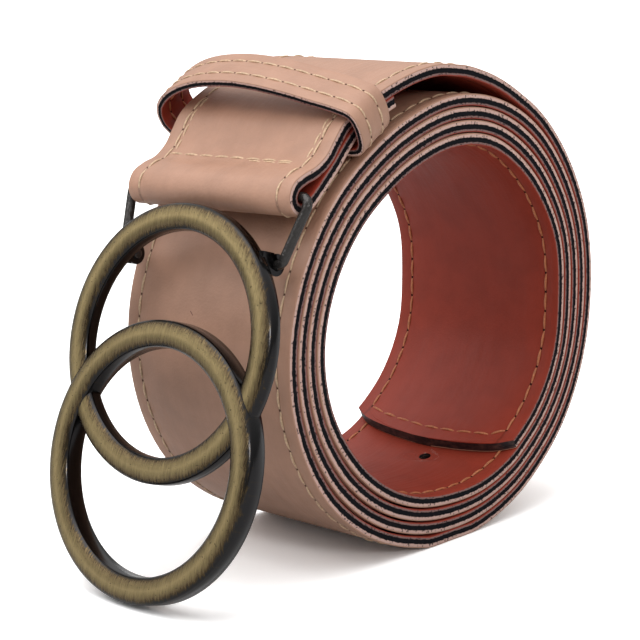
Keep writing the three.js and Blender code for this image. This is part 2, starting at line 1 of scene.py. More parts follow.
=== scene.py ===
"""Looks of a rolled double ring belt: a three-ply strap, its keeper loop, a wire bail and a
cast double ring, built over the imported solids. Lengths are millimetres until a piece is
finished, when it is scaled to metres."""

import math
import random

import bmesh
import bpy
from mathutils import Matrix, Vector


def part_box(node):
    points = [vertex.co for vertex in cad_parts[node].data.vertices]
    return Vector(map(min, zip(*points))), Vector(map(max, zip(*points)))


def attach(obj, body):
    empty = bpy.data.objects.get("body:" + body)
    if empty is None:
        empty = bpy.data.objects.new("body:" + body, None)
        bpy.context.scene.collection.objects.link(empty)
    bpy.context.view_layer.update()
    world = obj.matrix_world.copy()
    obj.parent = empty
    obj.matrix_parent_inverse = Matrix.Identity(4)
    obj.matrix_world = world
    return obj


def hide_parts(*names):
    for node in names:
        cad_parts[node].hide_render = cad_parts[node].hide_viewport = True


bl_info = {
    "name": "Double ring belt",
    "version": (1, 0, 0),
    "blender": (4, 5, 0),
    "location": "3D View > Sidebar > Belt",
    "description": "Builds the rolled double ring belt and its studio stage",
    "category": "Add Mesh",
}

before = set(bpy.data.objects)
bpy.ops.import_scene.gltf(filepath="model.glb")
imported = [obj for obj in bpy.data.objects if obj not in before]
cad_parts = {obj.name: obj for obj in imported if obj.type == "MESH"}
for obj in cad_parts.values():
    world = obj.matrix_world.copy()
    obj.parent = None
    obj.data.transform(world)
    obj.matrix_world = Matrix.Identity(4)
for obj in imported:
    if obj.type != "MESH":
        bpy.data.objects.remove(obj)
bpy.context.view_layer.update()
MM = 0.001

# The roll: shares of the hollow's radius and of the space between turns, by direction
TIP_DEG = -54
TOP_DEG = 1530
OUTER_TURN = 3
ROLL_TABLE = [
    # direction, hollow, gap
    (-54, 0.984, 0.08), (-36, 1.008, 0.1), (-18, 1.016, 0.1), (0, 0.997, 0.27),
    (18, 1.013, 0.19), (36, 0.999, 0.29), (54, 0.989, 0.37), (72, 0.987, 0.21),
    (90, 0.963, 0.28), (108, 0.941, 0.25), (126, 0.949, 0.22), (144, 0.989, 0.21),
    (162, 1.032, 0.2), (180, 1.064, 0.2), (198, 1.059, 0.35), (216, 1.027, 0.58),
    (234, 1.003, 0.49), (252, 0.989, 0.38), (270, 0.987, 0.4), (288, 1.019, 0.21),
]
# Lift of the outermost turn: turn angle, share of the height of the strap end
LIFT_TABLE = [(1485, 0), (1503, 0.07), (1512, 0.21), (1521, 0.36), (1530, 0.53)]
# Upper run: direction, share of the room under it, share of the wire's eye, share of the sag
UPPER_TABLE = [
    (96.4, 0.688, 0, 0), (102.9, 0.786, 0, 0), (109.6, 0.851, 0, 0), (117.8, 0.944, 0, 0),
    (124.5, 1.036, 0, 0.2), (129.1, 1.043, 0, 0.4), (132.9, 0.914, 0, 0.6),
    (136.5, 0.814, 0, 0.8), (140.1, 0.75, 0.53, 1),
]
# Nose of the fold: direction round the bar, ease as a share of the wire's radius
NOSE_TABLE = [(84, 0.75), (131, 0), (180, 0), (219, 0.15), (257, 0.23), (298, 0.1)]
# Flap: direction, share of the room above the roll, share of the sag
FLAP_TABLE = [
    (145.7, 0.786, 1), (141.4, 0.692, 0.9), (136.5, 0.704, 0.7), (132.3, 0.845, 0.5),
    (128.4, 0.986, 0.3), (124.0, 1.044, 0.1), (118.4, 0.9, 0), (113.0, 0.822, 0),
]
# Tip: share of the bulge behind the strap's end, share of the half width there
TIP_BULGE = 5.1
TIP_TABLE = [(0, 0.1), (0.04, 0.2), (0.12, 0.4), (0.27, 0.62), (0.47, 0.8), (0.67, 0.9), (1, 1)]
# Number of prong holes
HOLES = 5
# Directions of the cross seams on the upper run and of the keeper, turns where the sewing runs
FRONT_SEAM = 139
BACK_SEAM = 115.5
KEEPER_FRONT = 124
FACE_SEWN_FROM = 1110
LINING_SEWN_TO = 330
# Distance of the keeper's two stitch rows from its middle
KEEPER_SEAM = 2.3
# Groove of a seam: place beside it, share of the groove's depth
GROOVE_TABLE = [(0.55, 0), (0.3, 0.5), (0, 1), (-0.3, 0.5), (-0.55, 0)]
# Scratch on the tan face: distance from the tip, place across, half length, half width
SCRATCH = (974.6, -4.3, 0.65, 0.1)
# Keeper: share of the strap's half width, near and far reach beyond it, crown above, depth below
KEEPER_TABLE = [
    (0.13, 0, 0, 0, 1), (0.53, 0, 0, 0, 1), (0.89, 0, 0, 0, 0.995), (1, 0.39, 0, 0, 0.93),
    (1, 0.84, 0, 0, 0.72), (1, 1, 0, 0, 0.42), (1, 1, 0, 0, 0.15), (1, 0.87, 0, 0.08, 0),
    (1, 0.57, 0, 0.25, 0), (0.96, 0, 0, 0.4, 0), (0.67, 0, 0, 0.6, 0), (0.38, 0, 0, 0.79, 0),
    (0.09, 0, 0, 0.93, 0), (-0.2, 0, 0, 1, 0), (-0.49, 0, 0, 0.97, 0), (-0.73, 0, 0, 0.87, 0),
    (-0.96, 0, 0, 0.67, 0), (-1, 0, 0.45, 0.39, 0), (-1, 0, 0.86, 0.03, 0), (-1, 0, 1, 0, 0.32),
    (-1, 0, 0.93, 0, 0.65), (-1, 0, 0.65, 0, 0.9), (-1, 0, 0, 0, 1.02), (-0.53, 0, 0, 0, 1.01),
    (-0.18, 0, 0, 0, 1),
]


def number(name, description, default, **kind):
    return bpy.props.FloatProperty(name=name, description=description, default=default, **kind)


def length(name, description, millimetres):
    kind = {"precision": 5, "unit": "LENGTH", "subtype": "DISTANCE"}
    return number(name, description, millimetres * MM, **kind)


def angle(name, description, degrees):
    return number(name, description, math.radians(degrees), unit="ROTATION", subtype="ANGLE")


def colour(name, description, default):
    return bpy.props.FloatVectorProperty(
        name=name, description=description, default=default, subtype="COLOR", size=3, min=0, max=1
    )


class BeltSizes(bpy.types.PropertyGroup):
    """Sizes of the strap, its roll and its sewing."""

    strap_width: length("Strap width", "Width of the strap", 45)
    face_ply: length("Face ply", "Thickness of the tan outer ply", 0.95)
    core_ply: length("Core ply", "Thickness of the black core", 0.82)
    lining_ply: length("Lining ply", "Thickness of the red-brown lining", 0.62)
    ply_gap: length("Glue line", "Space between two plies", 0.03)
    hollow_radius: length("Hollow radius", "Mean radius of the hollow of the roll", 37.5)
    turn_gap: length("Turn gap", "Largest space between two turns", 1.0)
    foot_press: length("Foot press", "How far the roll is flattened where it stands", 0.3)
    hole_radius: length("Prong hole", "Radius of a prong hole", 1.35)
    hole_first: length("First hole", "Distance of the first hole from the tip", 140)
    hole_offset: length("Hole offset", "Distance of the holes from the centre line", 3.3)
    hole_pitch: length("Hole pitch", "Distance between prong holes", 25)
    stitch_pitch: length("Stitch pitch", "Distance between needle holes", 4.4)
    stitch_inset: length("Stitch inset", "Distance of the side seams from the edge", 3.3)
    thread_radius: length("Thread radius", "Radius of the sewing thread", 0.25)


class BuckleSizes(bpy.types.PropertyGroup):
    """Sizes of the keeper, the bail and the double ring."""

    keeper_width: length("Keeper width", "Width of the keeper loop", 10.4)
    keeper_face: length("Keeper face ply", "Thickness of the keeper's tan ply", 0.62)
    keeper_core: length("Keeper core ply", "Thickness of the keeper's core", 0.48)
    keeper_lining: length("Keeper lining ply", "Thickness of the keeper's lining", 0.46)
    keeper_skew: length("Keeper skew", "Sideways slant of the keeper", 1.4)
    wire_radius: length("Wire radius", "Radius of the bail's wire", 1.0)
    wire_bend: length("Wire bend", "Radius of the bail's corners", 1.7)
    bail_length: length("Bail length", "Distance from the bar to the pins", 13.85)
    ring_outer: length("Ring radius", "Outer radius of each ring", 27.3)
    ring_band: length("Ring band", "Width of the ring's band", 5.3)
    ring_dome: length("Ring dome", "Height of the ring's convex front", 1.35)
    ring_spacing: length("Ring spacing", "Distance between the middles of the rings", 22.95)


class BeltColours(bpy.types.PropertyGroup):
    """Base colours of the finishes."""

    tan: colour("Tan", "Smooth outer face", (0.38, 0.208, 0.139))
    lining: colour("Lining", "Red-brown lining", (0.25, 0.034, 0.018))
    raw_edge: colour("Raw edge", "Pale cut edge of the tan ply", (0.56, 0.38, 0.33))
    core: colour("Core", "Black core at the cut edge", (0.004, 0.004, 0.006))
    backing: colour("Backing", "Grey-pink backing of the lining", (0.22, 0.135, 0.125))
    # Painted shade of the strap's cut end, in patches over the core's black
    end_shade_colour: colour("End shade", "Painted shade on the strap's cut end", (0.075, 0.035, 0.028))
    gold_thread: colour("Gold thread", "Thread on the tan face", (0.56, 0.39, 0.25))
    orange_thread: colour("Orange thread", "Thread on the lining", (0.42, 0.14, 0.055))
    brass: colour("Brass", "Brushed crown of the rings", (0.235, 0.180, 0.088))
    wall_metal: colour("Wall metal", "Glossy walls of the rings", (0.028, 0.027, 0.028))
    dark_metal: colour("Dark metal", "Blackened wire", (0.022, 0.020, 0.019))


class StageSizes(bpy.types.PropertyGroup):
    """Camera place and light of the studio."""

    camera_place: bpy.props.FloatVectorProperty(
        name="Camera place",
        description="Where the camera stands",
        default=(0.26019, -0.29161, 0.1229),
        precision=5,
        unit="LENGTH",
        subtype="TRANSLATION",
    )
    camera_tilt: angle("Camera tilt", "Angle of the view from straight down", 78.94)
    camera_turn: angle("Camera turn", "Angle of the view about the vertical", 42)
    camera_lens: number("Camera lens", "Focal length in millimetres", 105.9)
    key_power: number("Key light", "Power of the soft front light", 2.0, unit="POWER")
    edge_power: number("Edge light", "Power of the small light at the side", 1.2, unit="POWER")
    overhead_light: number("Overhead light", "Strength of the broad light above", 1.6)
    overhead_spread: angle("Overhead spread", "Angle over which the light above is spread", 55)
    rim_light: number("Low room light", "Strength of the room at the horizon", 0.25)
    zenith_light: number("High room light", "Strength of the room overhead", 1.4)


# Curves


def table_value(table, column, x):
    """Smooth value of a table's column at x, where the first column rises."""
    i = 0
    while i < len(table) - 2 and x > table[i + 1][0]:
        i += 1
    a, b = table[i], table[i + 1]
    before, after = table[max(i - 1, 0)], table[min(i + 2, len(table) - 1)]
    t = min(max((x - a[0]) / (b[0] - a[0]), 0), 1)
    m0 = (b[column] - before[column]) / 2
    m1 = (after[column] - a[column]) / 2
    t2, t3 = t * t, t * t * t
    start = (2 * t3 - 3 * t2 + 1) * a[column] + (t3 - 2 * t2 + t) * m0
    return start + (-2 * t3 + 3 * t2) * b[column] + (t3 - t2) * m1


def smooth_line(points, divisions):
    """Centripetal curve through the points, each span in the same number of pieces."""
    row = [2 * points[0] - points[1], *points, 2 * points[-1] - points[-2]]
    line = []
    for p0, p1, p2, p3 in zip(row, row[1:], row[2:], row[3:]):
        d0, d1, d2 = ((b - a).length ** 0.5 for a, b in ((p0, p1), (p1, p2), (p2, p3)))
        m1 = ((p1 - p0) / d0 - (p2 - p0) / (d0 + d1) + (p2 - p1) / d1) * d1
        m2 = ((p2 - p1) / d1 - (p3 - p1) / (d1 + d2) + (p3 - p2) / d2) * d1
        for k in range(divisions):
            t = k / divisions
            t2, t3 = t * t, t * t * t
            near = p1 * (2 * t3 - 3 * t2 + 1) + m1 * (t3 - 2 * t2 + t)
            line.append(near + p2 * (3 * t2 - 2 * t3) + m2 * (t3 - t2))
    return [*line, points[-1].copy()]


def outward(line, i):
    """Unit normal of a flat line at a point, to the left-hand side of its run."""
    step = line[min(i + 1, len(line) - 1)] - line[max(i - 1, 0)]
    return Vector((step.y, -step.x)).normalized()


class Strap:
    """The strap's course: stations along it, with its face at the near and the far edge."""

    ROLL_STEP = 3
    LAST_TURNS = (1521, 1530)
    END_STEPS = 6
    FOLD_SAG = Vector((0.75, -1.3))
    BAR_DIR = 146.9
    BAR_ROOM = 0.965
    BAR_CLEARANCE = 0.2
    KEEPER_EASE = 1.32
    FOOT_REACH = 45
    FOOT_HALF = 9
    TIP_STEPS = 14
    TIP_SPAN = 9
    FOOT_HOLLOW = 0.03

    def __init__(self, sizes, buckle):
        self.half = sizes.strap_width / MM / 2
        self.face = sizes.face_ply / MM
        self.core = sizes.core_ply / MM
        self.lining = sizes.lining_ply / MM
        self.glue = sizes.ply_gap / MM
        self.thick = self.face + self.core + self.lining + 2 * self.glue
        self.wire = buckle.wire_radius / MM
        plies = buckle.keeper_face + buckle.keeper_core + buckle.keeper_lining
        self.keeper_thick = plies / MM + 2 * self.glue
        self.flap_room = self.keeper_thick + 2 * self.KEEPER_EASE
        hollow, gap = sizes.hollow_radius / MM, sizes.turn_gap / MM
        self.tip_reach = TIP_BULGE / hollow / math.radians(self.TIP_SPAN)
        self.tip = [(k / self.TIP_STEPS) ** 1.7 for k in range(self.TIP_STEPS)]
        rows = [(d, h * hollow, g * gap) for d, h, g in ROLL_TABLE]
        closing = rows[0][1] + self.thick + rows[0][2]
        self.rows = [*rows, (rows[0][0] + 360, closing, rows[0][2])]
        self.height = self.round_radius(270 + 360 * OUTER_TURN) - sizes.foot_press / MM
        rise = self.BAR_ROOM * self.flap_room + self.thick + self.BAR_CLEARANCE + self.wire
        self.bar_near = self.above_roll(self.BAR_DIR, rise)
        self.bar_far = self.bar_near + self.FOLD_SAG
        self.near, self.far = self.edges()
        low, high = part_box("strap_face")
        self.shift_x = (low[0] + high[0]) / 2 / MM
        self.shift_y = high[1] / MM - max(p.x for p in self.near)
        self.near_out = [outward(self.near, i) for i in range(len(self.near))]
        self.far_out = [outward(self.far, i) for i in range(len(self.far))]
        self.share = [table_value(TIP_TABLE, 1, back) for back in self.tip]
        self.share += [1] * (len(self.near) - len(self.tip))
        self.run = [0.0]
        middle = [self.on_station(i, 0, self.thick / 2) for i in range(len(self.near))]
        for a, b in zip(middle, middle[1:]):
            self.run.append(self.run[-1] + (b - a).length)

    def round_radius(self, turn):
        """Radius of the strap's face at a turn angle, before the foot is pressed flat."""
        whole = math.floor((turn - TIP_DEG) / 360 + 1e-9)
        direction = turn - 360 * whole
        hollow = table_value(self.rows, 1, direction)
        pitch = self.thick + table_value(self.rows, 2, direction)
        return hollow + whole * pitch + self.thick

    def lifted(self, direction, share, eye):
        gap = table_value(self.rows, 2, direction) * max(1 - share, 0)
        return self.thick + gap + share * (self.flap_room + self.thick) + eye * 2 * self.wire

    def face_radius(self, turn):
        """Radius of the strap's face, with the lifted end and the foot eased into the round."""
        if turn > LIFT_TABLE[0][0]:
            share = table_value(LIFT_TABLE, 1, turn)
            direction = turn - 360 * (OUTER_TURN + 1)
            return self.round_radius(turn - 360) + self.lifted(direction, share, 0)
        off = abs(turn - (270 + 360 * OUTER_TURN))
        if off > self.FOOT_REACH:
            return self.round_radius(turn)
        hollow = self.FOOT_HOLLOW * max(1 - off / self.FOOT_HALF, 0)
        flat = (self.height - hollow) / math.cos(math.radians(off))
        share = min(max(off / self.FOOT_HALF - 0.5, 0), 1)
        share *= share * (3 - 2 * share)
        return flat + share * (self.round_radius(turn) - flat)

    def polar(self, direction, radius):
        t = math.radians(direction)
        return Vector((radius * math.cos(t), self.height + radius * math.sin(t)))

    def bearing(self, p):
        return math.degrees(math.atan2(p.y - self.height, p.x))

    def above_roll(self, direction, rise):
        return self.polar(direction, self.round_radius(direction + 360 * OUTER_TURN) + rise)

    def edges(self):
        """Lines of the face along the near and the far edge."""
        turns = range(TIP_DEG, TOP_DEG + 1, self.ROLL_STEP)
        roll = [self.polar(turn, self.face_radius(turn)) for turn in turns]
        rows = [(self.polar(turn, self.face_radius(turn)), 0) for turn in self.LAST_TURNS]
        rows += [(self.above_roll(d, self.lifted(d, s, e)), far) for d, s, e, far in UPPER_TABLE]
        for around, ease in NOSE_TABLE:
            t = math.radians(around)
            reach = self.thick + self.BAR_CLEARANCE + self.wire * (1 + ease)
            rows.append((self.bar_near + reach * Vector((math.cos(t), math.sin(t))), 1))
        rows += [(self.above_roll(d, room * self.flap_room), far) for d, room, far in FLAP_TABLE]
        near = smooth_line([p for p, _ in rows], self.END_STEPS)
        far = smooth_line([p + self.FOLD_SAG * share for p, share in rows], self.END_STEPS)
        skip = self.END_STEPS + 1
        ahead = self.polar(TIP_DEG - self.TIP_SPAN, self.face_radius(TIP_DEG - self.TIP_SPAN))
        tip = [roll[0].lerp(ahead, (1 - back) * self.tip_reach) for back in self.tip]
        return tip + roll + near[skip:], tip + roll + far[skip:]

    def on_station(self, i, x, depth):
        """Point at x across the strap and at a depth below its face, at station i."""
        t = (self.half - x) / (2 * self.half)
        place = self.near[i].lerp(self.far[i], t)
        place -= depth * self.near_out[i].lerp(self.far_out[i], t).normalized()
        return Vector((x + self.shift_x, place.x + self.shift_y, place.y))

    def at_run(self, run, x, depth):
        """Point at a distance along the strap from its tip."""
        i = 0
        step = len(self.run) // 2
        while step:
            while i + step < len(self.run) - 1 and self.run[i + step] <= run:
                i += step
            step //= 2
        t = min(max((run - self.run[i]) / (self.run[i + 1] - self.run[i]), 0), 1)
        return self.on_station(i, x, depth).lerp(self.on_station(i + 1, x, depth), t)

    def run_of_turn(self, turn):
        return self.run[self.TIP_STEPS + round((turn - TIP_DEG) / self.ROLL_STEP)]

    def tip_edge(self, x):
        """Distance from the strap's end to its bulging edge at x across the strap."""
        share = abs(x) / self.half
        i = 0
        while i < len(TIP_TABLE) - 2 and share > TIP_TABLE[i + 1][1]:
            i += 1
        a, b = TIP_TABLE[i], TIP_TABLE[i + 1]
        return TIP_BULGE * (a[0] + max(share - a[1], 0) / (b[1] - a[1]) * (b[0] - a[0]))

    def upper_index(self, direction):
        """Station on the upper run of the strap end nearest to a direction."""
        i = self.TIP_STEPS + round((TOP_DEG - TIP_DEG) / self.ROLL_STEP)
        while self.bearing(self.near[i + 1]) < direction:
            i += 1
        return i


# Meshes


def finish_piece(bm, name, body, slot, materials, replaced=()):
    """Turns a mesh in millimetres into a smooth piece of the scene that rides on a body."""
    bmesh.ops.scale(bm, vec=(MM, MM, MM), verts=bm.verts)
    mesh = bpy.data.meshes.new(name)
    bm.to_mesh(mesh)
    bm.free()
    mesh.shade_smooth()
    mesh.set_sharp_from_angle(angle=math.radians(40))
    for material in materials:
        mesh.materials.append(material)
    piece = bpy.data.objects.new(name, mesh)
    bpy.context.scene.collection.objects.link(piece)
    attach(piece, body)
    if replaced:
        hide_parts(*replaced)
    return piece


def sweep_section(count, place, section, total, shares=None, shade_stations=-1):
    """A closed slab: a line of stations extruded round a section of (x, depth, slot).

    place(i, x, depth) gives a point, and shares narrow the section at each station. The
    course attribute keeps the distance along the strip, the place across it and the share
    of its thickness. The cut edge takes slot 2, the painted shade of the strap's end, before
    the given station, and both ends take it when that station is given.
    """
    shares = shares or [1] * count
    bm = bmesh.new()
    station = bm.verts.layers.int.new("station")
    course = bm.verts.layers.float_vector.new("course")
    run = [0.0]
    for i in range(1, count):
        run.append(run[-1] + (place(i, 0, total / 2) - place(i - 1, 0, total / 2)).length)

    def settle(verts, x, depth):
        for vert in verts:
            i = vert[station]
            vert.co = place(i, x * shares[i], depth)
            vert[course] = (run[i], x * shares[i], depth / total)

    line = []
    for i in range(count):
        vert = bm.verts.new()
        vert[station] = i
        line.append(vert)
    settle(line, section[0][0], section[0][1])
    edges = [bm.edges.new(pair) for pair in zip(line, line[1:])]
    for x, depth, slot in [*section[1:], section[0]]:
        made = bmesh.ops.extrude_edge_only(bm, edges=edges)["geom"]
        edges = [g for g in made if isinstance(g, bmesh.types.BMEdge)]
        settle([g for g in made if isinstance(g, bmesh.types.BMVert)], x, depth)
        # Cut-edge faces before the given station take slot 2, the painted shade of the strap's end
        for face in (g for g in made if isinstance(g, bmesh.types.BMFace)):
            first = min(vert[station] for vert in face.verts)
            face.material_index = 2 if slot == 1 and first < shade_stations else slot
    bmesh.ops.remove_doubles(bm, verts=bm.verts, dist=1e-5)
    open_edges = [e for e in bm.edges if e.is_boundary]
    caps = bmesh.ops.holes_fill(bm, edges=open_edges, sides=0)["faces"]
    # The end caps take slot 2, the painted shade of the strap's end, when that station is given
    for face in caps:
        face.material_index = 1 if shade_stations < 0 else 2
    bmesh.ops.recalc_face_normals(bm, faces=bm.faces)
    return bm


def ply_section(half, top, bottom, show_top, seams, groove=0.1, round_off=0.28):
    """Section of a ply, starting at the near edge of its hidden side.

    Slot 0 is the finished surface and slot 1 the cut edge. The shown side has rounded
    edges and a shallow groove along each seam.
    """
    shown, hidden = (top, bottom) if show_top else (bottom, top)
    inward = 1 if show_top else -1
    points = [(half, hidden, 1), (half, shown + inward * round_off, 1)]
    points.append((half - round_off * 0.3, shown + inward * round_off * 0.3, 0))
    points.append((half - round_off, shown, 0))
    columns = [(half - 1.6, 0)]
    for seam in sorted(seams, reverse=True):
        columns += [(seam + beside, groove * share) for beside, share in GROOVE_TABLE]
    columns.append((-half + 1.6, 0))
    gaps = []
    for (xa, sa), (xb, _) in zip(columns, columns[1:]):
        gaps.append((xa, sa))
        if xa - xb > 6:
            cuts = int((xa - xb) / 5)
            gaps += [(xa + (xb - xa) * k / cuts, 0) for k in range(1, cuts)]
    for x, sink in [*gaps, columns[-1]]:
        points.append((x, shown + inward * sink, 0))
    points.append((-half + round_off, shown, 0))
    points.append((-half + round_off * 0.3, shown + inward * round_off * 0.3, 0))
    points.append((-half, shown + inward * round_off, 1))
    points.append((-half, hidden, 1))
    return points


def plain_section(half, top, bottom):
    return [(half, bottom, 1), (half, top, 1), (-half, top, 1), (-half, bottom, 1)]


def punch_holes(piece, strap, sizes):
    """Cuts the prong holes through a finished ply."""
    bm = bmesh.new()
    for k in range(HOLES):
        run = (sizes.hole_first + k * sizes.hole_pitch) / MM
        x = sizes.hole_offset / MM
        a, b = strap.at_run(run, x, -0.05), strap.at_run(run, x, strap.thick + 0.05)
        ring = bmesh.ops.create_cone(
            bm,
            cap_ends=True,
            segments=24,
            radius1=sizes.hole_radius / MM,
            radius2=sizes.hole_radius / MM,
            depth=(b - a).length,
        )["verts"]
        turn = Vector((0, 0, 1)).rotation_difference(b - a).to_matrix().to_4x4()
        bmesh.ops.transform(bm, matrix=Matrix.Translation((a + b) / 2) @ turn, verts=ring)
    for face in bm.faces:
        face.material_index = 2
    bmesh.ops.scale(bm, vec=(MM, MM, MM), verts=bm.verts)
    mesh = bpy.data.meshes.new("prong_punch")
    bm.to_mesh(mesh)
    bm.free()
    punch = bpy.data.objects.new("prong_punch", mesh)
    bpy.context.scene.collection.objects.link(punch)
    cut = piece.modifiers.new("prong holes", "BOOLEAN")
    cut.object = punch
    cut.operation = "DIFFERENCE"
    cut.solver = "EXACT"
    bpy.context.view_layer.update()
    shaped = piece.evaluated_get(bpy.context.evaluated_depsgraph_get())
    pierced = bpy.data.meshes.new_from_object(shaped)
    piece.modifiers.clear()
    solid = piece.data
    piece.data = pierced
    pierced.name = solid.name
    bpy.data.meshes.remove(solid)
    bpy.data.objects.remove(punch)
    bpy.data.meshes.remove(mesh)


def add_stitch(bm, start, end, middle, up, radius, chance):
    """One stitch: a short bead of thread laid over the surface, its ends in the needle holes."""
    along = end - start
    span = along.length
    body = bmesh.ops.create_uvsphere(bm, u_segments=6, v_segments=8, radius=radius)["verts"]
    side = up.cross(along).normalized()
    slant = chance.uniform(-0.10, 0.10)
    lift = radius * 0.62
    reach = span / 2 - radius - 0.12
    arch = middle - (start + end) / 2
    for vert in body:
        p = vert.co.copy()
        if abs(p.z) > radius * 0.5:
            p.z += math.copysign(reach, p.z)
        elif abs(p.z) > 1e-4:
            p.z = math.copysign(reach * 0.55, p.z)
        bow = (p.z / (reach + radius)) ** 2
        place = (start + end) / 2 + along.normalized() * p.z
        place += arch * (1 - (2 * p.z / span) ** 2)
        place += side * (p.x + slant * p.z / reach) + up * (p.y * 0.8 + lift - 1.1 * radius * bow)
        vert.co = place


def add_needle_hole(bm, place, along, up, radius):
    """One needle hole: a small dark disc lying on the leather, painted shade of the hole."""
    rim = bmesh.ops.create_circle(bm, cap_ends=True, segments=8, radius=radius)["verts"]
    side = up.cross(along).normalized()
    ahead = along.normalized()
    for vert in rim:
        p = vert.co.copy()
        vert.co = place + ahead * p.x * 1.25 + side * p.y * 0.8 + up * 0.02
    for face in {f for vert in rim for f in vert.link_faces}:
        face.material_index = 1
        face.normal_update()
        if face.normal.dot(up) < 0:
            face.normal_flip()


def sew(bm, surface, path, pitch, radius, seed):
    """Sews along a path of (run, across), on a surface that gives a point and its outward."""
    chance = random.Random(seed)
    marks = []
    left = 0.0
    for (r0, x0), (r1, x1) in zip(path, path[1:]):
        span = math.hypot(r1 - r0, x1 - x0)
        at = left
        while at < span:
            t = at / span
            marks.append((r0 + t * (r1 - r0), x0 + t * (x1 - x0)))
            at += pitch
        left = at - span
    places = [surface(*mark) for mark in marks]
    for i, ((a, up_a), (b, _)) in enumerate(zip(places, places[1:])):
        middle, up = surface(*((p + q) / 2 for p, q in zip(marks[i], marks[i + 1])))
        add_stitch(bm, a, b, middle, up, radius * chance.uniform(0.9, 1.1), chance)
        add_needle_hole(bm, a, b - a, up_a, radius * chance.uniform(0.95, 1.25))


# Materials


def node(tree, kind, inputs=None, **settings):
    """Adds a node with its settings, and fills or links its inputs by name or number."""
    made = tree.nodes.new(kind)
    for key, value in settings.items():
        setattr(made, key, value)
    for key, value in (inputs or {}).items():
        if isinstance(value, bpy.types.NodeSocket):
            tree.links.new(value, made.inputs[key])
        else:
            made.inputs[key].default_value = value
    return made


def math_node(tree, operation, a, b=0.0):
    return node(tree, "ShaderNodeMath", {0: a, 1: b}, operation=operation).outputs[0]


def mix_colour(tree, factor, a, b, blend="MIX"):
    made = node(
        tree, "ShaderNodeMix", {0: factor, 6: a, 7: b}, data_type="RGBA", blend_type=blend
    )
    return made.outputs[2]


def noise(tree, vector, scale, detail=2.0, roughness=0.5):
    inputs = {"Vector": vector, "Scale": scale, "Detail": detail, "Roughness": roughness}
    return node(tree, "ShaderNodeTexNoise", inputs).outputs["Fac"]


def spread(tree, value, low, high, to_low=0.0, to_high=1.0):
    """Maps a range smoothly onto another one."""
    inputs = {"Value": value, 1: low, 2: high, 3: to_low, 4: to_high}
    return node(tree, "ShaderNodeMapRange", inputs, interpolation_type="SMOOTHSTEP").outputs[0]


def ramp(tree, value, stops):
    """Colour ramp from (place, colour) stops."""
    made = node(tree, "ShaderNodeValToRGB", {"Fac": value})
    elements = made.color_ramp.elements
    while len(elements) < len(stops):
        elements.new(0.5)
    for element, (place, tone) in zip(elements, stops):
        element.position = place
        element.color = (*tone, 1)
    return made.outputs["Color"]


def stretch(tree, vector, scale):
    return node(tree, "ShaderNodeMapping", {"Vector": vector, "Scale": scale}).outputs[0]


def new_group(name, inputs, outputs):
    """Shader node group with named sockets, and its input and output nodes."""
    group = bpy.data.node_groups.new(name, "ShaderNodeTree")
    for label, kind, default in inputs:
        socket = group.interface.new_socket(name=label, in_out="INPUT", socket_type=kind)
        if default is not None:
            socket.default_value = default
    for label, kind in outputs:
        group.interface.new_socket(name=label, in_out="OUTPUT", socket_type=kind)
    return group, group.nodes.new("NodeGroupInput"), group.nodes.new("NodeGroupOutput")


FLOAT, RGBA, VECTOR = "NodeSocketFloat", "NodeSocketColor", "NodeSocketVector"


def leather_grain_group():
    """Fine pebble grain, pores and slow waves of a coated leather, and its mottling."""
    group, given, out = new_group(
        "leather grain",
        [("Vector", VECTOR, None), ("Grain", FLOAT, 2.2), ("Wave", FLOAT, 0.06)],
        [("Height", FLOAT), ("Mottle", FLOAT), ("Streak", FLOAT)],
    )
    vector = given.outputs["Vector"]
    cells = node(
        group,
        "ShaderNodeTexVoronoi",
        {"Vector": vector, "Scale": given.outputs["Grain"], "Randomness": 1.0},
        feature="SMOOTH_F1",
    ).outputs["Distance"]
    fine = noise(group, vector, 6.0, 3.0, 0.6)
    slow = noise(group, vector, given.outputs["Wave"], 2.0, 0.5)
    grain = math_node(group, "MULTIPLY", cells, 0.45)
    grain = math_node(group, "ADD", grain, math_node(group, "MULTIPLY", fine, 0.35))
    height = math_node(group, "ADD", grain, math_node(group, "MULTIPLY", slow, 1.6))
    streaks = noise(group, stretch(group, vector, (0.05, 1.2, 1)), 1.0, 3.0, 0.6)
    group.links.new(height, out.inputs["Height"])
    group.links.new(noise(group, vector, 0.16, 4.0, 0.55), out.inputs["Mottle"])
    group.links.new(streaks, out.inputs["Streak"])
    return group


def speckle_group():
    """Scattered specks: dark fibres, pits and dust, as a mask."""
    group, given, out = new_group(
        "speckle",
        [("Vector", VECTOR, None), ("Scale", FLOAT, 2.0), ("Amount", FLOAT, 0.3)],
        [("Mask", FLOAT)],
    )
    dots = noise(group, given.outputs["Vector"], given.outputs["Scale"], 1.0, 0.4)
    level = math_node(group, "SUBTRACT", 0.78, given.outputs["Amount"])
    high = math_node(group, "ADD", level, 0.07)
    mask = node(
        group, "ShaderNodeMapRange", {"Value": dots, 1: level, 2: high, 3: 0.0, 4: 1.0}
    ).outputs[0]
    group.links.new(mask, out.inputs["Mask"])
    return group


def grouped(tree, group, **inputs):
    return node(tree, "ShaderNodeGroup", inputs, node_tree=group).outputs


def new_material(name, preview):
    """A new material, its node tree and its shader."""
    material = bpy.data.materials.new(name)
    material.use_nodes = True
    material.diffuse_color = (*preview, 1)
    tree = material.node_tree
    return material, tree, tree.nodes["Principled BSDF"]


def course(tree):
    """Coordinates along and across the strip, and the share of its thickness."""
    return node(tree, "ShaderNodeAttribute", attribute_name="course").outputs["Vector"]


def object_mm(tree):
    """Object coordinates in millimetres."""
    place = node(tree, "ShaderNodeTexCoord").outputs["Object"]
    return stretch(tree, place, (1000, 1000, 1000))


def bump(tree, shader, height, distance):
    made = node(tree, "ShaderNodeBump", {"Height": height, "Distance": distance})
    tree.links.new(made.outputs[0], shader.inputs["Normal"])


def rgba(tone, gain=1.0):
    return (tone[0] * gain, tone[1] * gain, tone[2] * gain, 1)


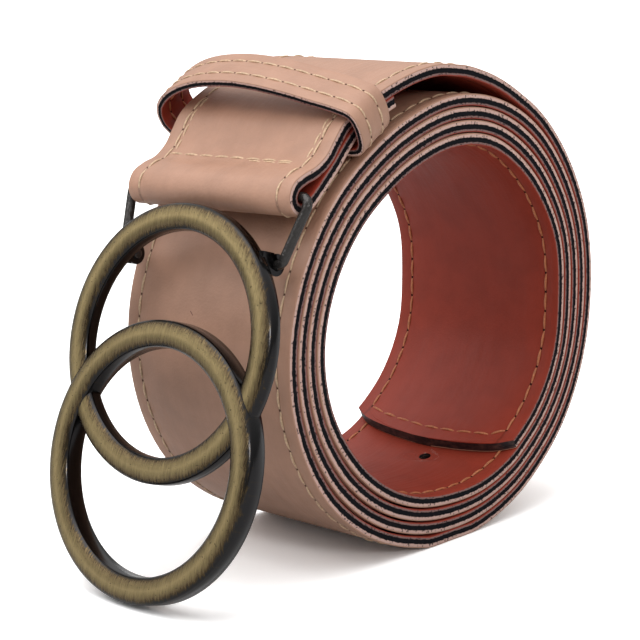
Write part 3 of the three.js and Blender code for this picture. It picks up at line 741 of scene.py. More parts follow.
def scratched(tree, vector, base, tone):
    """Short dark scratch, slanted across the strap."""
    run, across, half_length, half_width = SCRATCH
    moved = node(tree, "ShaderNodeVectorMath", {0: vector, 1: (run, across, 0)}, operation="SUBTRACT")
    turned = node(
        tree,
        "ShaderNodeVectorRotate",
        {"Vector": moved.outputs[0], "Angle": math.radians(-45)},
        rotation_type="Z_AXIS",
    )
    parts = node(tree, "ShaderNodeSeparateXYZ", {0: turned.outputs[0]})
    along = math_node(tree, "ABSOLUTE", parts.outputs["X"])
    beside = math_node(tree, "ABSOLUTE", parts.outputs["Y"])
    mark = math_node(
        tree,
        "MULTIPLY",
        spread(tree, along, half_length * 0.7, half_length, 1.0, 0.0),
        spread(tree, beside, half_width * 0.6, half_width * 1.4, 1.0, 0.0),
    )
    return mix_colour(tree, math_node(tree, "MULTIPLY", mark, 0.8), base, rgba(tone))


def smooth_leather(name, tone, grain, roughness, depth, specular, sizes, rim):
    """Coated leather: mottled tone, pebble grain, slow waves, raw rims of the holes and painted shade
    in the seam grooves.
    """
    material, tree, shader = new_material(name, tone)
    vector = course(tree)
    looks = grouped(tree, grain, Vector=vector, Grain=2.1, Wave=0.05)
    mottle = spread(tree, looks["Mottle"], 0.3, 0.7)
    base = mix_colour(tree, mottle, rgba(tone, 0.93), rgba(tone, 1.06))
    pores = spread(tree, noise(tree, vector, 3.4, 2.0), 0.62, 0.72, 0.0, 0.22)
    base = mix_colour(tree, pores, base, rgba(tone, 0.62))
    base = hole_rims(tree, vector, sizes, base, rim)
    base = scratched(tree, vector, base, (0.07, 0.014, 0.012))
    # Painted shade in the grooves beside the side seams: darker within half a millimetre of each seam
    across = node(tree, "ShaderNodeSeparateXYZ", {0: vector}).outputs["Y"]
    seam = (sizes.strap_width / 2 - sizes.stitch_inset) / MM
    beside = math_node(tree, "SUBTRACT", math_node(tree, "ABSOLUTE", across), seam)
    groove = spread(tree, math_node(tree, "ABSOLUTE", beside), 0.15, 0.5, 0.4, 0.0)
    base = mix_colour(tree, groove, base, rgba(tone, 0.3))
    tree.links.new(base, shader.inputs["Base Color"])
    rough = spread(tree, looks["Streak"], 0.25, 0.75, roughness - 0.05, roughness + 0.07)
    tree.links.new(rough, shader.inputs["Roughness"])
    shader.inputs["Specular IOR Level"].default_value = specular
    bump(tree, shader, looks["Height"], depth)
    return material


def hole_rims(tree, vector, sizes, base, tone):
    """Raw rim of the leather round each prong hole."""
    parts = node(tree, "ShaderNodeSeparateXYZ", {0: vector})
    along = math_node(tree, "SUBTRACT", parts.outputs["X"], sizes.hole_first / MM)
    half = sizes.hole_pitch / MM / 2
    within = math_node(tree, "GREATER_THAN", along, -half)
    before_last = math_node(tree, "LESS_THAN", along, 2 * half * (HOLES - 0.5))
    within = math_node(tree, "MULTIPLY", within, before_last)
    along = node(tree, "ShaderNodeMath", {0: along, 1: half, 2: -half}, operation="WRAP").outputs[0]
    across = math_node(tree, "SUBTRACT", parts.outputs["Y"], sizes.hole_offset / MM)
    flat = node(tree, "ShaderNodeCombineXYZ", {0: along, 1: across})
    away = node(tree, "ShaderNodeVectorMath", {0: flat.outputs[0]}, operation="LENGTH").outputs[1]
    away = math_node(tree, "ADD", away, math_node(tree, "MULTIPLY", noise(tree, vector, 2.5), 0.3))
    radius = sizes.hole_radius / MM
    rim = spread(tree, away, radius + 0.34, radius + 0.5, 1.0, 0.0)
    rim = math_node(tree, "MULTIPLY", rim, within)
    return mix_colour(tree, math_node(tree, "MULTIPLY", rim, 0.85), base, rgba(tone))


def painted_end_shade(name, colours):
    """Painted shade over the cut end of the strap: dark brown patches on the core's black."""
    material, tree, shader = new_material(name, colours.core)
    vector = course(tree)
    patches = noise(tree, stretch(tree, vector, (0.5, 0.5, 2)), 1.1, 4.0, 0.65)
    base = mix_colour(tree, spread(tree, patches, 0.4, 0.75), rgba(colours.core), rgba(colours.end_shade_colour))
    tree.links.new(base, shader.inputs["Base Color"])
    shader.inputs["Roughness"].default_value = 0.5
    bump(tree, shader, patches, 0.00012)
    return material


def cut_edge(name, colours, specks):
    """Raw edge of the laminate: pale ply, ragged black core, backing and lining skin."""
    material, tree, shader = new_material(name, colours.raw_edge)
    vector = course(tree)
    parts = node(tree, "ShaderNodeSeparateXYZ", {0: vector})
    slice_vector = stretch(tree, vector, (1, 1, 2.1))
    ragged = noise(tree, slice_vector, 1.9, 5.0, 0.75)
    shifted = math_node(tree, "MULTIPLY", math_node(tree, "SUBTRACT", ragged, 0.5), 0.36)
    share = math_node(tree, "ADD", parts.outputs["Z"], shifted)
    pale, black, back = colours.raw_edge, colours.core, colours.backing
    layers = ramp(
        tree,
        share,
        [
            (0.00, tuple(colours.tan)),
            (0.05, tuple(pale)),
            (0.335, tuple(pale)),
            (0.365, tuple(black)),
            (0.745, tuple(black)),
            (0.775, tuple(back)),
            (0.9, tuple(back)),
            (0.945, tuple(c * 1.3 for c in colours.lining)),
        ],
    )
    dots = grouped(tree, specks, Vector=slice_vector, Scale=2.2, Amount=0.17)["Mask"]
    dark = mix_colour(tree, math_node(tree, "MULTIPLY", dots, 0.8), layers, rgba(black, 2.0))
    fibres = noise(tree, slice_vector, 5.5, 3.0, 0.7)
    light = spread(tree, fibres, 0.35, 0.75, 0.0, 0.30)
    final = mix_colour(tree, light, dark, rgba(pale, 1.1), "SOFT_LIGHT")
    tree.links.new(final, shader.inputs["Base Color"])
    shader.inputs["Roughness"].default_value = 0.85
    shader.inputs["Specular IOR Level"].default_value = 0.12
    bump(tree, shader, math_node(tree, "ADD", fibres, ragged), 0.00012)
    return material


def thread_finish(name, tone):
    """Twisted sewing thread."""
    material, tree, shader = new_material(name, tone)
    vector = object_mm(tree)
    fuzz = noise(tree, vector, 2.2, 4.0, 0.7)
    base = mix_colour(tree, spread(tree, fuzz, 0.3, 0.7), rgba(tone, 0.72), rgba(tone, 1.25))
    tree.links.new(base, shader.inputs["Base Color"])
    shader.inputs["Roughness"].default_value = 0.55
    bump(tree, shader, fuzz, 0.00015)
    return material


# Painted shade of a needle hole: a dark matt colour for the disc laid over it
def needle_hole_shade(name, tone):
    material, tree, shader = new_material(name, tone)
    fuzz = noise(tree, object_mm(tree), 3.0, 2.0)
    tree.links.new(mix_colour(tree, fuzz, rgba(tone, 0.6), rgba(tone, 1.2)), shader.inputs[0])
    shader.inputs["Roughness"].default_value = 0.95
    shader.inputs["Specular IOR Level"].default_value = 0.1
    return material


def blackened_wire(name, colours, specks):
    """Glossy blackened steel wire with small rubbed spots."""
    material, tree, shader = new_material(name, colours.dark_metal)
    vector = object_mm(tree)
    worn = grouped(tree, specks, Vector=vector, Scale=1.4, Amount=0.02)["Mask"]
    base = mix_colour(tree, worn, rgba(colours.dark_metal, 1.8), (0.10, 0.09, 0.08, 1))
    tree.links.new(base, shader.inputs["Base Color"])
    smear = noise(tree, vector, 0.9, 3.0, 0.6)
    tree.links.new(spread(tree, smear, 0.3, 0.7, 0.12, 0.22), shader.inputs["Roughness"])
    shader.inputs["Metallic"].default_value = 0.6
    bump(tree, shader, smear, 0.0003)
    return material


def antique_brass(name, colours, specks, half_band):
    """Brushed antique brass: rubbed crown with a painted highlight along its middle, brown flanks and
    near-black glossy walls.
    """
    material, tree, shader = new_material(name, colours.brass)
    vector = course(tree)
    parts = node(tree, "ShaderNodeSeparateXYZ", {0: vector})
    off_crown = math_node(tree, "ABSOLUTE", parts.outputs["Y"])
    off_crown = math_node(tree, "DIVIDE", off_crown, half_band)
    dome = spread(tree, parts.outputs["Z"], 0.06, 0.2)
    crown = math_node(tree, "MULTIPLY", math_node(tree, "SUBTRACT", 1.0, off_crown), dome)
    hairs = noise(tree, stretch(tree, object_mm(tree), (3.4, 0.35, 0.35)), 1.3, 4.0, 0.65)
    cloud = noise(tree, vector, 0.13, 3.0, 0.6)
    rubbed = math_node(tree, "ADD", crown, math_node(tree, "MULTIPLY", hairs, 0.9))
    rubbed = math_node(tree, "ADD", rubbed, math_node(tree, "MULTIPLY", cloud, 0.30))
    rubbed = math_node(tree, "SUBTRACT", rubbed, 0.62)
    brown = tuple(a * 0.35 + b * 0.30 for a, b in zip(colours.brass, (0.20, 0.13, 0.08)))
    # The ramp lightens toward the crown's middle: rubbed brass, with a painted highlight in the
    # brightest stop
    base = ramp(
        tree,
        rubbed,
        [
            (0.00, tuple(colours.wall_metal)),
            (0.10, tuple(colours.wall_metal)),
            (0.20, tuple(c * 0.42 for c in brown)),
            (0.37, tuple(c * 0.85 for c in brown)),
            (0.64, tuple(colours.brass)),
            (1.00, tuple(min(c * 1.7, 1) for c in colours.brass)),
        ],
    )
    pits = grouped(tree, specks, Vector=vector, Scale=2.6, Amount=0.10)["Mask"]
    base = mix_colour(tree, math_node(tree, "MULTIPLY", pits, 0.8), base, rgba(brown, 0.4))
    tree.links.new(base, shader.inputs["Base Color"])
    rough = spread(tree, rubbed, 0.1, 0.5, 0.18, 0.34)
    tree.links.new(rough, shader.inputs["Roughness"])
    shader.inputs["Metallic"].default_value = 1.0
    height = math_node(tree, "SUBTRACT", hairs, math_node(tree, "MULTIPLY", pits, 0.8))
    height = math_node(tree, "MULTIPLY", height, spread(tree, crown, 0.05, 0.3))
    bump(tree, shader, height, 0.00012)
    return material


def pale_floor():
    material, tree, shader = new_material("pale floor", (0.9, 0.9, 0.9))
    dust = noise(tree, object_mm(tree), 0.02, 3.0)
    seen = node(tree, "ShaderNodeLightPath").outputs["Is Camera Ray"]
    pale = mix_colour(tree, dust, (1.26, 1.26, 1.26, 1), (1.3, 1.3, 1.3, 1))
    tree.links.new(mix_colour(tree, seen, (0.55, 0.55, 0.55, 1), pale), shader.inputs[0])
    shader.inputs["Roughness"].default_value = 0.8
    shader.inputs["Specular IOR Level"].default_value = 0.1
    return material


def finishes(context):
    """Every material of the belt, built once."""
    if "tan leather" in bpy.data.materials:
        return {m.name: m for m in bpy.data.materials}
    colours = context.scene.belt_colours
    grain, specks = leather_grain_group(), speckle_group()
    sizes, rim = context.scene.belt_sizes, colours.raw_edge
    smooth_leather("tan leather", colours.tan, grain, 0.5, 0.0001, 0.5, sizes, rim)
    smooth_leather("brown lining", colours.lining, grain, 0.45, 0.00004, 0.22, sizes, rim)
    painted_end_shade("dyed end", colours)
    cut_edge("cut edge", colours, specks)
    thread_finish("gold thread", colours.gold_thread)
    thread_finish("orange thread", colours.orange_thread)
    # Painted shade of the needle holes on the tan face and on the lining
    needle_hole_shade("needle hole tan", (0.10, 0.05, 0.035))
    needle_hole_shade("needle hole brown", (0.02, 0.006, 0.004))
    blackened_wire("blackened wire", colours, specks)
    half_band = context.scene.buckle_sizes.ring_band / MM / 2
    antique_brass("antique brass", colours, specks, half_band)
    pale_floor()
    return {m.name: m for m in bpy.data.materials}


# Operators


class BELT_OT_strap(bpy.types.Operator):
    """Builds the three plies of the strap along its roll and its folded end."""

    bl_idname = "belt.strap"
    bl_label = "Strap plies"

    def execute(self, context):
        sizes = context.scene.belt_sizes
        strap = Strap(sizes, context.scene.buckle_sizes)
        looks = finishes(context)
        seam = strap.half - sizes.stitch_inset / MM
        core_top = strap.face + strap.glue
        lining_top = core_top + strap.core + strap.glue
        seams = (seam, -seam)
        tan = ply_section(strap.half, 0, strap.face, True, seams)
        core = plain_section(strap.half - 0.08, core_top, core_top + strap.core)
        brown = ply_section(strap.half - 0.02, lining_top, strap.thick, False, seams, 0.1, 0.2)
        plies = (
            ("tan_face_ply", "strap_face", "face_leather", "tan leather", tan),
            ("black_core_ply", "strap_core", "black_core", "cut edge", core),
            ("brown_lining_ply", "strap_lining", "lining_leather", "brown lining", brown),
        )
        for name, solid, slot, look, section in plies:
            bm = sweep_section(
                len(strap.near), strap.on_station, section, strap.thick, strap.share, strap.TIP_STEPS
            )
            materials = [looks[look], looks["cut edge"], looks["dyed end"]]
            piece = finish_piece(bm, name, "belt", slot, materials, [solid])
            punch_holes(piece, strap, sizes)
        return {"FINISHED"}


class Keeper:
    """The keeper loop's course round the strap end, in the strap's frame."""

    DIRECTION = 123.4
    SIDE = 0.55
    LOOSE = 6.0
    CROWN = 5.88
    SLACK = 1.7
    RISE = 0.35
    BUTT = 0.3
    STEPS = 6

    def __init__(self, strap, buckle):
        self.strap = strap
        self.half = buckle.keeper_width / MM / 2
        self.skew = buckle.keeper_skew / MM
        self.plies = [
            ply / MM for ply in (buckle.keeper_face, buckle.keeper_core, buckle.keeper_lining)
        ]
        self.thick = strap.keeper_thick
        self.depth = 2 * strap.thick + self.SLACK + self.thick
        middle = self.upper_face(self.DIRECTION)
        radius = (middle - Vector((0, strap.height))).length
        reach = math.degrees(self.half / radius)
        back = self.upper_face(self.DIRECTION - reach)
        front = self.upper_face(self.DIRECTION + reach)
        self.along = (front - back).normalized()
        self.out = Vector((self.along.y, -self.along.x))
        self.seat = (front + back) / 2 + self.RISE * self.out
        near_reach = self.thick + self.skew + self.SIDE
        far_reach = self.thick + self.LOOSE
        rows = []
        for half, near, far, crown, depth in KEEPER_TABLE:
            x = half * strap.half + near * near_reach - far * far_reach
            rows.append(Vector((x, crown * (self.thick + self.CROWN) - depth * self.depth)))
        ends = [Vector((self.BUTT / 2, -self.depth)), Vector((-self.BUTT / 2, -self.depth))]
        self.line = smooth_line([ends[0], *rows, ends[1]], self.STEPS)
        self.normals = [outward(self.line, i) for i in range(len(self.line))]

    def upper_face(self, direction):
        i = self.strap.upper_index(direction)
        a, b = self.strap.near[i], self.strap.near[i + 1]
        start = self.strap.bearing(a)
        return a.lerp(b, (direction - start) / (self.strap.bearing(b) - start))

    def on_station(self, i, across, depth):
        """Point at a station round the loop, across its width, below its outer face."""
        p = self.line[i] - depth * self.normals[i]
        share = across / (2 * self.half) + 0.5
        place = self.seat + across * self.along + p.y * self.out
        x = p.x - self.skew * (1 - share)
        return Vector((x + self.strap.shift_x, place.x + self.strap.shift_y, place.y))


class BELT_OT_keeper(bpy.types.Operator):
    """Builds the three plies of the keeper loop."""

    bl_idname = "belt.keeper"
    bl_label = "Keeper loop"

    def execute(self, context):
        strap = Strap(context.scene.belt_sizes, context.scene.buckle_sizes)
        keeper = Keeper(strap, context.scene.buckle_sizes)
        looks = finishes(context)
        face, core, lining = keeper.plies
        core_top = face + strap.glue
        lining_top = core_top + core + strap.glue
        rows = (KEEPER_SEAM, -KEEPER_SEAM)
        tan = ply_section(keeper.half, 0, face, True, rows, 0.1, 0.22)
        black = plain_section(keeper.half - 0.06, core_top, core_top + core)
        brown = ply_section(keeper.half, lining_top, keeper.thick, False, rows, 0.08, 0.15)
        plies = (
            ("keeper_tan_ply", "keeper_face", "face_leather", "tan leather", tan),
            ("keeper_black_ply", "keeper_core", "black_core", "cut edge", black),
            ("keeper_brown_ply", "keeper_lining", "lining_leather", "brown lining", brown),
        )
        for name, solid, slot, look, section in plies:
            bm = sweep_section(len(keeper.line), keeper.on_station, section, keeper.thick)
            materials = [looks[look], looks["cut edge"]]
            finish_piece(bm, name, "belt", slot, materials, [solid])
        return {"FINISHED"}


class BELT_OT_stitching(bpy.types.Operator):
    """Sews the side seams, the cross seams, the tip and the keeper's two rows."""

    bl_idname = "belt.stitching"
    bl_label = "Stitching"

    def execute(self, context):
        sizes, buckle = context.scene.belt_sizes, context.scene.buckle_sizes
        strap = Strap(sizes, buckle)
        looks = finishes(context)
        pitch, radius = sizes.stitch_pitch / MM, sizes.thread_radius / MM
        seam = strap.half - sizes.stitch_inset / MM
        end = strap.run[-1]

        def on_side(depth, sign):
            def surface(run, x):
                place = strap.at_run(run, x, depth)
                inner = strap.at_run(run, x, depth + sign)
                return place, (place - inner).normalized()

            return surface

        face = on_side(0.06, 1)
        lining = on_side(strap.thick - 0.06, -1)
        front = strap.run[strap.upper_index(FRONT_SEAM)]
        back = strap.run[strap.upper_index(BACK_SEAM)]
        keeper_front = strap.run[strap.upper_index(KEEPER_FRONT)]
        start = strap.run_of_turn(FACE_SEWN_FROM)
        bm = bmesh.new()
        for side in (seam, -seam):
            sew(bm, face, [(start, side), (end - 3, side)], pitch, radius, 1)
        for side in (seam - 1.0, -seam + 1.0):
            sew(bm, face, [(keeper_front, side), (front, side)], pitch * 0.8, radius * 0.9, 2)
        sew(bm, face, [(front, -seam), (front + 0.3, seam)], pitch, radius, 3)
        sew(bm, face, [(front + 0.9, 4), (front + 0.8, seam)], pitch * 0.9, radius * 0.8, 4)
        sew(bm, face, [(back, seam), (back, -seam)], pitch, radius, 5)
        gold = [looks["gold thread"], looks["needle hole tan"]]
        finish_piece(bm, "face_stitches", "belt", "face_leather", gold)

        bm = bmesh.new()
        stop = strap.run_of_turn(LINING_SEWN_TO)
        inset = sizes.stitch_inset / MM + 0.3
        steps = 16
        across = [seam * (1 - 2 * k / steps) for k in range(steps + 1)]
        tip = [(inset + strap.tip_edge(x), x) for x in across]
        path = [(stop, seam), *tip, (stop, -seam)]
        sew(bm, lining, path, pitch, radius * 1.15, 6)
        orange = [looks["orange thread"], looks["needle hole brown"]]
        finish_piece(bm, "lining_stitches", "belt", "lining_leather", orange)

        keeper = Keeper(strap, buckle)
        run = [0.0]
        for i in range(1, len(keeper.line)):
            run.append(run[-1] + (keeper.line[i] - keeper.line[i - 1]).length)

        def keeper_point(at, across, depth):
            i = 0
            while i < len(run) - 2 and run[i + 1] < at:
                i += 1
            t = (at - run[i]) / (run[i + 1] - run[i])
            first = keeper.on_station(i, across, depth)
            return first.lerp(keeper.on_station(i + 1, across, depth), t)

        def keeper_surface(depth, sign):
            def surface(at, across):
                place = keeper_point(at, across, depth)
                return place, (place - keeper_point(at, across, depth + sign)).normalized()

            return surface

        for name, slot, depth, sign, thread in (
            ("keeper_face_stitches", "face_leather", 0.06, 1, gold),
            ("keeper_lining_stitches", "lining_leather", keeper.thick - 0.05, -1, orange),
        ):
            bm = bmesh.new()
            for side in (KEEPER_SEAM, -KEEPER_SEAM):
                path = [(2, side), (run[-1] - 2, side)]
                sew(bm, keeper_surface(depth, sign), path, pitch * 0.95, radius * 0.9, 7)
            finish_piece(bm, name, "belt", slot, thread)
        return {"FINISHED"}


def rounded_corners(corners, radius, steps):
    """Line of points with each inner corner bent to a radius."""
    line = [corners[0]]
    for before, corner, after in zip(corners, corners[1:], corners[2:]):
        a, b = (before - corner).normalized(), (after - corner).normalized()
        half = a.angle(b) / 2
        centre = corner + (a + b).normalized() * radius / math.sin(half)
        start = corner + a * radius / math.tan(half) - centre
        turn = start.rotation_difference(corner + b * radius / math.tan(half) - centre)
        for k in range(steps + 1):
            part = turn.copy()
            part.angle = turn.angle * k / steps
            line.append(centre + part @ start)
    return [*line, corners[-1]]


class BELT_OT_wire_bail(bpy.types.Operator):
    """Bends the round wire bail through the fold and into the ring's lugs."""

    bl_idname = "belt.wire_bail"
    bl_label = "Wire bail"

    def execute(self, context):
        strap = Strap(context.scene.belt_sizes, context.scene.buckle_sizes)
        ring = RingPlace(strap, context.scene.buckle_sizes)
        looks = finishes(context)
        w, place = ring.bail_half, ring.matrix()
        shift = Vector((strap.shift_x, strap.shift_y, 0))

        def at_pin(x):
            return place @ Vector((x, ring.pin_up, ring.pin_back))

        corners = [
            at_pin(ring.pin_end),
            at_pin(ring.bail_foot),
            Vector((w, strap.bar_near.x, strap.bar_near.y)) + shift,
            Vector((-w, strap.bar_far.x, strap.bar_far.y)) + shift,
            at_pin(-ring.bail_foot),
            at_pin(-ring.pin_end),
        ]
        line = rounded_corners(corners, context.scene.buckle_sizes.wire_bend / MM, 8)
        bm = bmesh.new()
        circle = bmesh.ops.create_circle(bm, segments=20, radius=ring.wire)["verts"]
        edges = list({e for vert in circle for e in vert.link_edges})
        way = (line[1] - line[0]).normalized()
        turn = Vector((0, 0, 1)).rotation_difference(way).to_matrix().to_4x4()
        bmesh.ops.transform(bm, matrix=Matrix.Translation(line[0]) @ turn, verts=circle)
        for i in range(1, len(line)):
            ahead = (line[min(i + 1, len(line) - 1)] - line[i - 1]).normalized()
            swing = way.rotation_difference(ahead).to_matrix().to_4x4()
            step = Matrix.Translation(line[i]) @ swing @ Matrix.Translation(-line[i - 1])
            made = bmesh.ops.extrude_edge_only(bm, edges=edges)["geom"]
            edges = [g for g in made if isinstance(g, bmesh.types.BMEdge)]
            verts = [g for g in made if isinstance(g, bmesh.types.BMVert)]
            edges = [e for e in edges if e.verts[0] in verts and e.verts[1] in verts]
            bmesh.ops.transform(bm, matrix=step, verts=verts)
            way = ahead
        rims = [e for e in bm.edges if e.is_boundary]
        bmesh.ops.holes_fill(bm, edges=rims, sides=0)
        sharp = [e for e in bm.edges if e.calc_face_angle(0) > math.radians(60)]
        bmesh.ops.bevel(
            bm,
            geom=sharp,
            offset=0.3,
            offset_type="OFFSET",
            affect="EDGES",
            segments=3,
            profile=0.5,
            material=-1,
        )
        bmesh.ops.recalc_face_normals(bm, faces=bm.faces)
        finish_piece(
            bm, "bail_wire", "bail", "black_wire", [looks["blackened wire"]], ["wire_bail"]
        )
        return {"FINISHED"}


class RingPlace:
    """Place and lean of the double ring, from the bail's pins down to the floor."""

    BAIL_SIDE = 1.3
    BAIL_LEAN = math.radians(19.45)
    BAIL_FOOT_SIDE = 0.15
    BAIL_SHIFT = -0.7
    ROLL = math.radians(2.8)
    UPPER_BACK = 2.3
    LOWER_PROUD = 0.8
    LOWER_BACK = 2.85
    FLOOR_CLEARANCE = 0.05
    LUG_SPREAD = 38.2
    LUG_THICK = 2.6
    LUG_RADIUS = 2.15
    LUG_RISE = 1.55
    LUG_STAND = 1.15
    PIN_CLEARANCE = 0.18
    PIN_PROUD = 0.6
    FOOT_SUNK = 0.8
    PEG_INSET = 3.3
    PEG_LENGTH = 4.0
    PEG_RADIUS = 1.2
    PEG_HEAD = 1.6
    PEG_HEAD_THICK = 1.1

    def __init__(self, strap, buckle):
        self.strap = strap
        self.wire = strap.wire
        self.outer = buckle.ring_outer / MM
        self.band = buckle.ring_band / MM
        self.dome = buckle.ring_dome / MM
        self.spacing = buckle.ring_spacing / MM
        self.bail_half = strap.half + self.BAIL_SIDE + self.wire
        self.lug_x = self.LUG_SPREAD / 2
        self.bail_foot = self.lug_x + self.LUG_THICK / 2 + self.BAIL_FOOT_SIDE + self.wire
        self.pin_end = self.lug_x - self.LUG_THICK / 2 - self.PIN_PROUD
        length = buckle.bail_length / MM
        drop = Vector((math.sin(self.BAIL_LEAN), math.cos(self.BAIL_LEAN))) * length
        self.pin = (strap.bar_near + strap.bar_far) / 2 - drop
        middle = self.outer - self.band / 2
        self.pin_up = math.sqrt(middle**2 - self.lug_x**2) + self.LUG_RISE
        self.pin_back = self.UPPER_BACK + self.LUG_STAND + self.LUG_RADIUS
        up = (self.pin_up + self.spacing) * math.cos(self.ROLL) + self.outer
        back = self.pin_back - self.LOWER_BACK
        fall = min((self.pin.y - self.FLOOR_CLEARANCE) / math.hypot(up, back), 1)
        self.lean = math.acos(fall) - math.atan2(back, up)

    def matrix(self):
        """From the ring's own frame (across, up, back) to the belt's frame."""
        sin, cos = math.sin(self.lean), math.cos(self.lean)
        turn = Matrix(((1, 0, 0, 0), (0, sin, cos, 0), (0, cos, -sin, 0), (0, 0, 0, 1)))
        x = self.strap.shift_x + self.BAIL_SHIFT
        place = Vector((x, self.pin.x + self.strap.shift_y, self.pin.y))
        pin = Vector((0, self.pin_up, self.pin_back))
        turn = turn @ Matrix.Rotation(self.ROLL, 4, "Z")
        return Matrix.Translation(place) @ turn @ Matrix.Translation(-pin)


class BELT_OT_double_ring(bpy.types.Operator):
    """Casts the double ring with its lugs and hook peg."""

    bl_idname = "belt.double_ring"
    bl_label = "Double ring"

    def execute(self, context):
        strap = Strap(context.scene.belt_sizes, context.scene.buckle_sizes)
        ring = RingPlace(strap, context.scene.buckle_sizes)
        looks = finishes(context)
        bm = bmesh.new()
        course = bm.verts.layers.float_vector.new("course")
        self.add_ring(bm, course, ring, 0, 0, ring.UPPER_BACK)
        self.add_ring(bm, course, ring, -ring.spacing, -ring.LOWER_PROUD, ring.LOWER_BACK)
        for side in (1, -1):
            self.add_lug(bm, course, ring, side)
        self.add_peg(bm, course, ring)
        bmesh.ops.transform(bm, matrix=ring.matrix(), verts=bm.verts)
        bmesh.ops.recalc_face_normals(bm, faces=bm.faces)
        piece = finish_piece(
            bm,
            "cast_double_ring",
            "ring",
            "antique_brass",
            [looks["antique brass"]],
            ["double_ring"],
        )
        piece.data.set_sharp_from_angle(angle=math.radians(55))
        return {"FINISHED"}

    def add_ring(self, bm, course, ring, centre_up, front, back):
        """One ring: its section, spun all the way round."""
        middle = ring.outer - ring.band / 2
        half = ring.band / 2
        shoulder = 0.35
        section = [(half, back - shoulder), (half, front + 0.55), (half - 0.04, front + 0.25)]
        arcs = 16
        for k in range(1, arcs):
            t = math.pi * k / arcs
            flat = math.copysign(abs(math.cos(t)) ** 0.85, math.cos(t))
            section.append((half * flat, front - ring.dome * math.sin(t) ** 0.9 + 0.08))
        section += [(-half + 0.04, front + 0.25), (-half, front + 0.55)]
        section += [(-half, back - shoulder), (-half + shoulder, back), (half - shoulder, back)]
        verts = []
        for off, depth in section:
            vert = bm.verts.new((middle + off, centre_up, depth))
            rise = max(min((front + 0.2 - depth) / (ring.dome + 0.1), 1), 0)
            vert[course] = (0, off, rise**0.75)
            verts.append(vert)
        edges = [bm.edges.new(pair) for pair in zip(verts, verts[1:] + verts[:1])]
        before = set(bm.verts) - set(verts)
        bmesh.ops.spin(
            bm,
            geom=verts + edges,
            cent=(0, centre_up, 0),
            axis=(0, 0, 1),
            angle=math.tau,
            steps=160,
            use_merge=True,
        )
        for vert in bm.verts:
            if vert not in before:
                arc = math.atan2(vert.co.y - centre_up, vert.co.x) * middle
                vert[course].x = arc

    def add_lug(self, bm, course, ring, side):
        """A lug on the back of the upper ring: a round eye on a short foot."""
        bore = ring.wire + ring.PIN_CLEARANCE
        half = ring.LUG_THICK / 2
        x = side * ring.lug_x
        corners = [(-half, bore), (half, bore), (half, ring.LUG_RADIUS), (-half, ring.LUG_RADIUS)]
        verts = [
            bm.verts.new((x + along, ring.pin_up, ring.pin_back - out)) for along, out in corners
        ]
        edges = [bm.edges.new(pair) for pair in zip(verts, verts[1:] + verts[:1])]
        others = set(bm.verts) - set(verts)
        bmesh.ops.spin(
            bm,
            geom=verts + edges,
            cent=(x, ring.pin_up, ring.pin_back),
            axis=(1, 0, 0),
            angle=math.tau,
            steps=32,
            use_merge=True,
        )
        foot_back = ring.pin_back - bore
        foot_front = ring.UPPER_BACK - ring.FOOT_SUNK
        foot = bmesh.ops.create_cube(bm, size=1)["verts"]
        size = (ring.LUG_THICK * 0.999, 2 * ring.LUG_RADIUS, foot_back - foot_front)
        middle = Vector((x, ring.pin_up, (foot_back + foot_front) / 2))
        bmesh.ops.scale(bm, vec=size, verts=foot)
        bmesh.ops.translate(bm, vec=middle, verts=foot)
        for vert in bm.verts:
            if vert not in others:
                vert[course] = (vert.co.x, vert.co.y, 0.05)

    def add_peg(self, bm, course, ring):
        """The hook peg on the back of the lower ring."""
        up = -ring.spacing - ring.outer + ring.PEG_INSET
        end = ring.LOWER_BACK + ring.PEG_LENGTH
        others = set(bm.verts)
        shaft = (ring.PEG_RADIUS, ring.PEG_RADIUS, ring.LOWER_BACK - ring.FOOT_SUNK)
        head = (ring.PEG_HEAD, ring.PEG_HEAD * 0.8, end - ring.PEG_HEAD_THICK)
        for near, far, start in (shaft, head):
            made = bmesh.ops.create_cone(
                bm,
                cap_ends=True,
                segments=24,
                radius1=near,
                radius2=far,
                depth=end - start,
            )["verts"]
            bmesh.ops.translate(bm, vec=(0, up, (start + end) / 2), verts=made)
        for vert in bm.verts:
            if vert not in others:
                vert[course] = (vert.co.x, vert.co.y, 0.1)


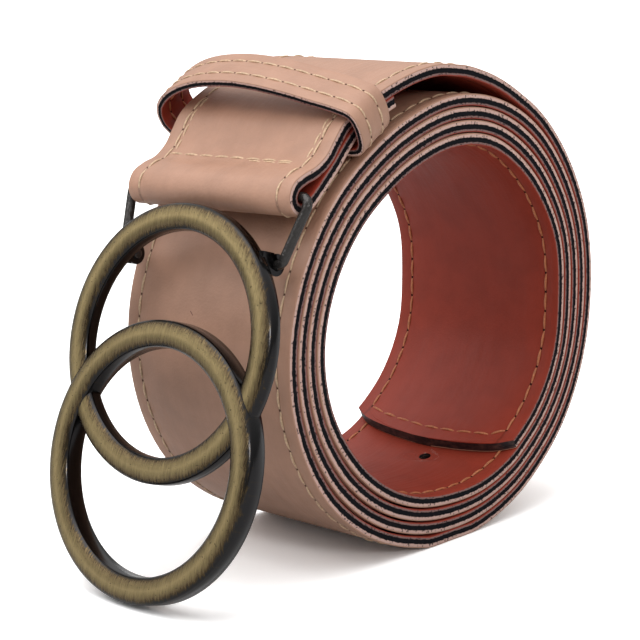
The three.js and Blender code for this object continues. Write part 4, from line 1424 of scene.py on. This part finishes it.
class BELT_OT_stage(bpy.types.Operator):
    """Sets the pale floor, the studio light and the camera."""

    bl_idname = "belt.stage"
    bl_label = "Studio stage"

    def execute(self, context):
        scene, stage = context.scene, context.scene.stage_sizes
        bm = bmesh.new()
        bmesh.ops.create_grid(bm, x_segments=2, y_segments=2, size=12)
        mesh = bpy.data.meshes.new("studio_floor")
        bm.to_mesh(mesh)
        bm.free()
        finishes(context)
        mesh.materials.append(bpy.data.materials["pale floor"])
        floor = bpy.data.objects.new("studio_floor", mesh)
        scene.collection.objects.link(floor)

        camera = bpy.data.cameras.new("studio_camera")
        camera.lens = stage.camera_lens
        camera.sensor_width = 36
        camera.clip_start = 0.01
        camera.clip_end = 100
        holder = bpy.data.objects.new("studio_camera", camera)
        holder.location = stage.camera_place
        holder.rotation_euler = (stage.camera_tilt, 0, stage.camera_turn)
        scene.collection.objects.link(holder)
        scene.camera = holder

        aim = Vector((0, 0, 0.05))
        softbox = bpy.data.lights.new("key_softbox", "AREA")
        softbox.shape = "SQUARE"
        softbox.size = 0.6
        softbox.energy = stage.key_power
        overhead = bpy.data.lights.new("overhead_light", "SUN")
        overhead.angle = stage.overhead_spread
        overhead.energy = stage.overhead_light
        edge = bpy.data.lights.new("edge_softbox", "AREA")
        edge.shape = "SQUARE"
        edge.size = 0.12
        edge.energy = stage.edge_power
        for light, place in (
            (softbox, (-0.45, -0.75, 0.6)),
            (edge, (0.75, -0.35, 0.4)),
            (overhead, (-0.1, -0.3, 1.0)),
        ):
            lamp = bpy.data.objects.new(light.name, light)
            lamp.location = place
            way = aim - Vector(place)
            lamp.rotation_euler = way.to_track_quat("-Z", "Y").to_euler()
            scene.collection.objects.link(lamp)

        world = bpy.data.worlds.new("white_room")
        world.use_nodes = True
        tree = world.node_tree
        way = node(tree, "ShaderNodeTexCoord").outputs["Object"]
        height = node(tree, "ShaderNodeSeparateXYZ", {0: way}).outputs["Z"]
        low, high = stage.rim_light, stage.zenith_light
        dome = node(tree, "ShaderNodeMapRange", {0: height, 1: 0.0, 2: 1.0, 3: low, 4: high})
        seen = node(tree, "ShaderNodeLightPath").outputs["Is Camera Ray"]
        strength = node(tree, "ShaderNodeMix", {0: seen, 2: dome.outputs[0], 3: 1.0}).outputs[0]
        sky = tree.nodes["Background"]
        sky.inputs["Color"].default_value = (1, 1, 1, 1)
        tree.links.new(strength, sky.inputs["Strength"])
        scene.world = world
        scene.view_settings.view_transform = "Standard"
        scene.view_settings.look = "None"
        return {"FINISHED"}


class BELT_PT_panel(bpy.types.Panel):
    """Lists the belt's pieces and their sizes."""

    bl_idname = "BELT_PT_panel"
    bl_label = "Double ring belt"
    bl_space_type = "VIEW_3D"
    bl_region_type = "UI"
    bl_category = "Belt"

    def draw(self, context):
        for operator in OPERATORS:
            self.layout.operator(operator.bl_idname)
        for group in ("belt_sizes", "buckle_sizes", "belt_colours", "stage_sizes"):
            settings = getattr(context.scene, group)
            box = self.layout.box()
            for name in settings.__annotations__:
                box.prop(settings, name)


OPERATORS = (
    BELT_OT_strap,
    BELT_OT_keeper,
    BELT_OT_stitching,
    BELT_OT_wire_bail,
    BELT_OT_double_ring,
    BELT_OT_stage,
)
GROUPS = {
    "belt_sizes": BeltSizes,
    "buckle_sizes": BuckleSizes,
    "belt_colours": BeltColours,
    "stage_sizes": StageSizes,
}


def register():
    for group in GROUPS.values():
        bpy.utils.register_class(group)
    for name, group in GROUPS.items():
        setattr(bpy.types.Scene, name, bpy.props.PointerProperty(type=group))
    for operator in (*OPERATORS, BELT_PT_panel):
        bpy.utils.register_class(operator)


def unregister():
    for operator in (BELT_PT_panel, *reversed(OPERATORS)):
        bpy.utils.unregister_class(operator)
    for name, group in GROUPS.items():
        delattr(bpy.types.Scene, name)
        bpy.utils.unregister_class(group)


def main():
    register()
    bpy.ops.belt.strap()
    bpy.ops.belt.keeper()
    bpy.ops.belt.stitching()
    bpy.ops.belt.wire_bail()
    bpy.ops.belt.double_ring()
    bpy.ops.belt.stage()


if __name__ == "__main__":
    main()
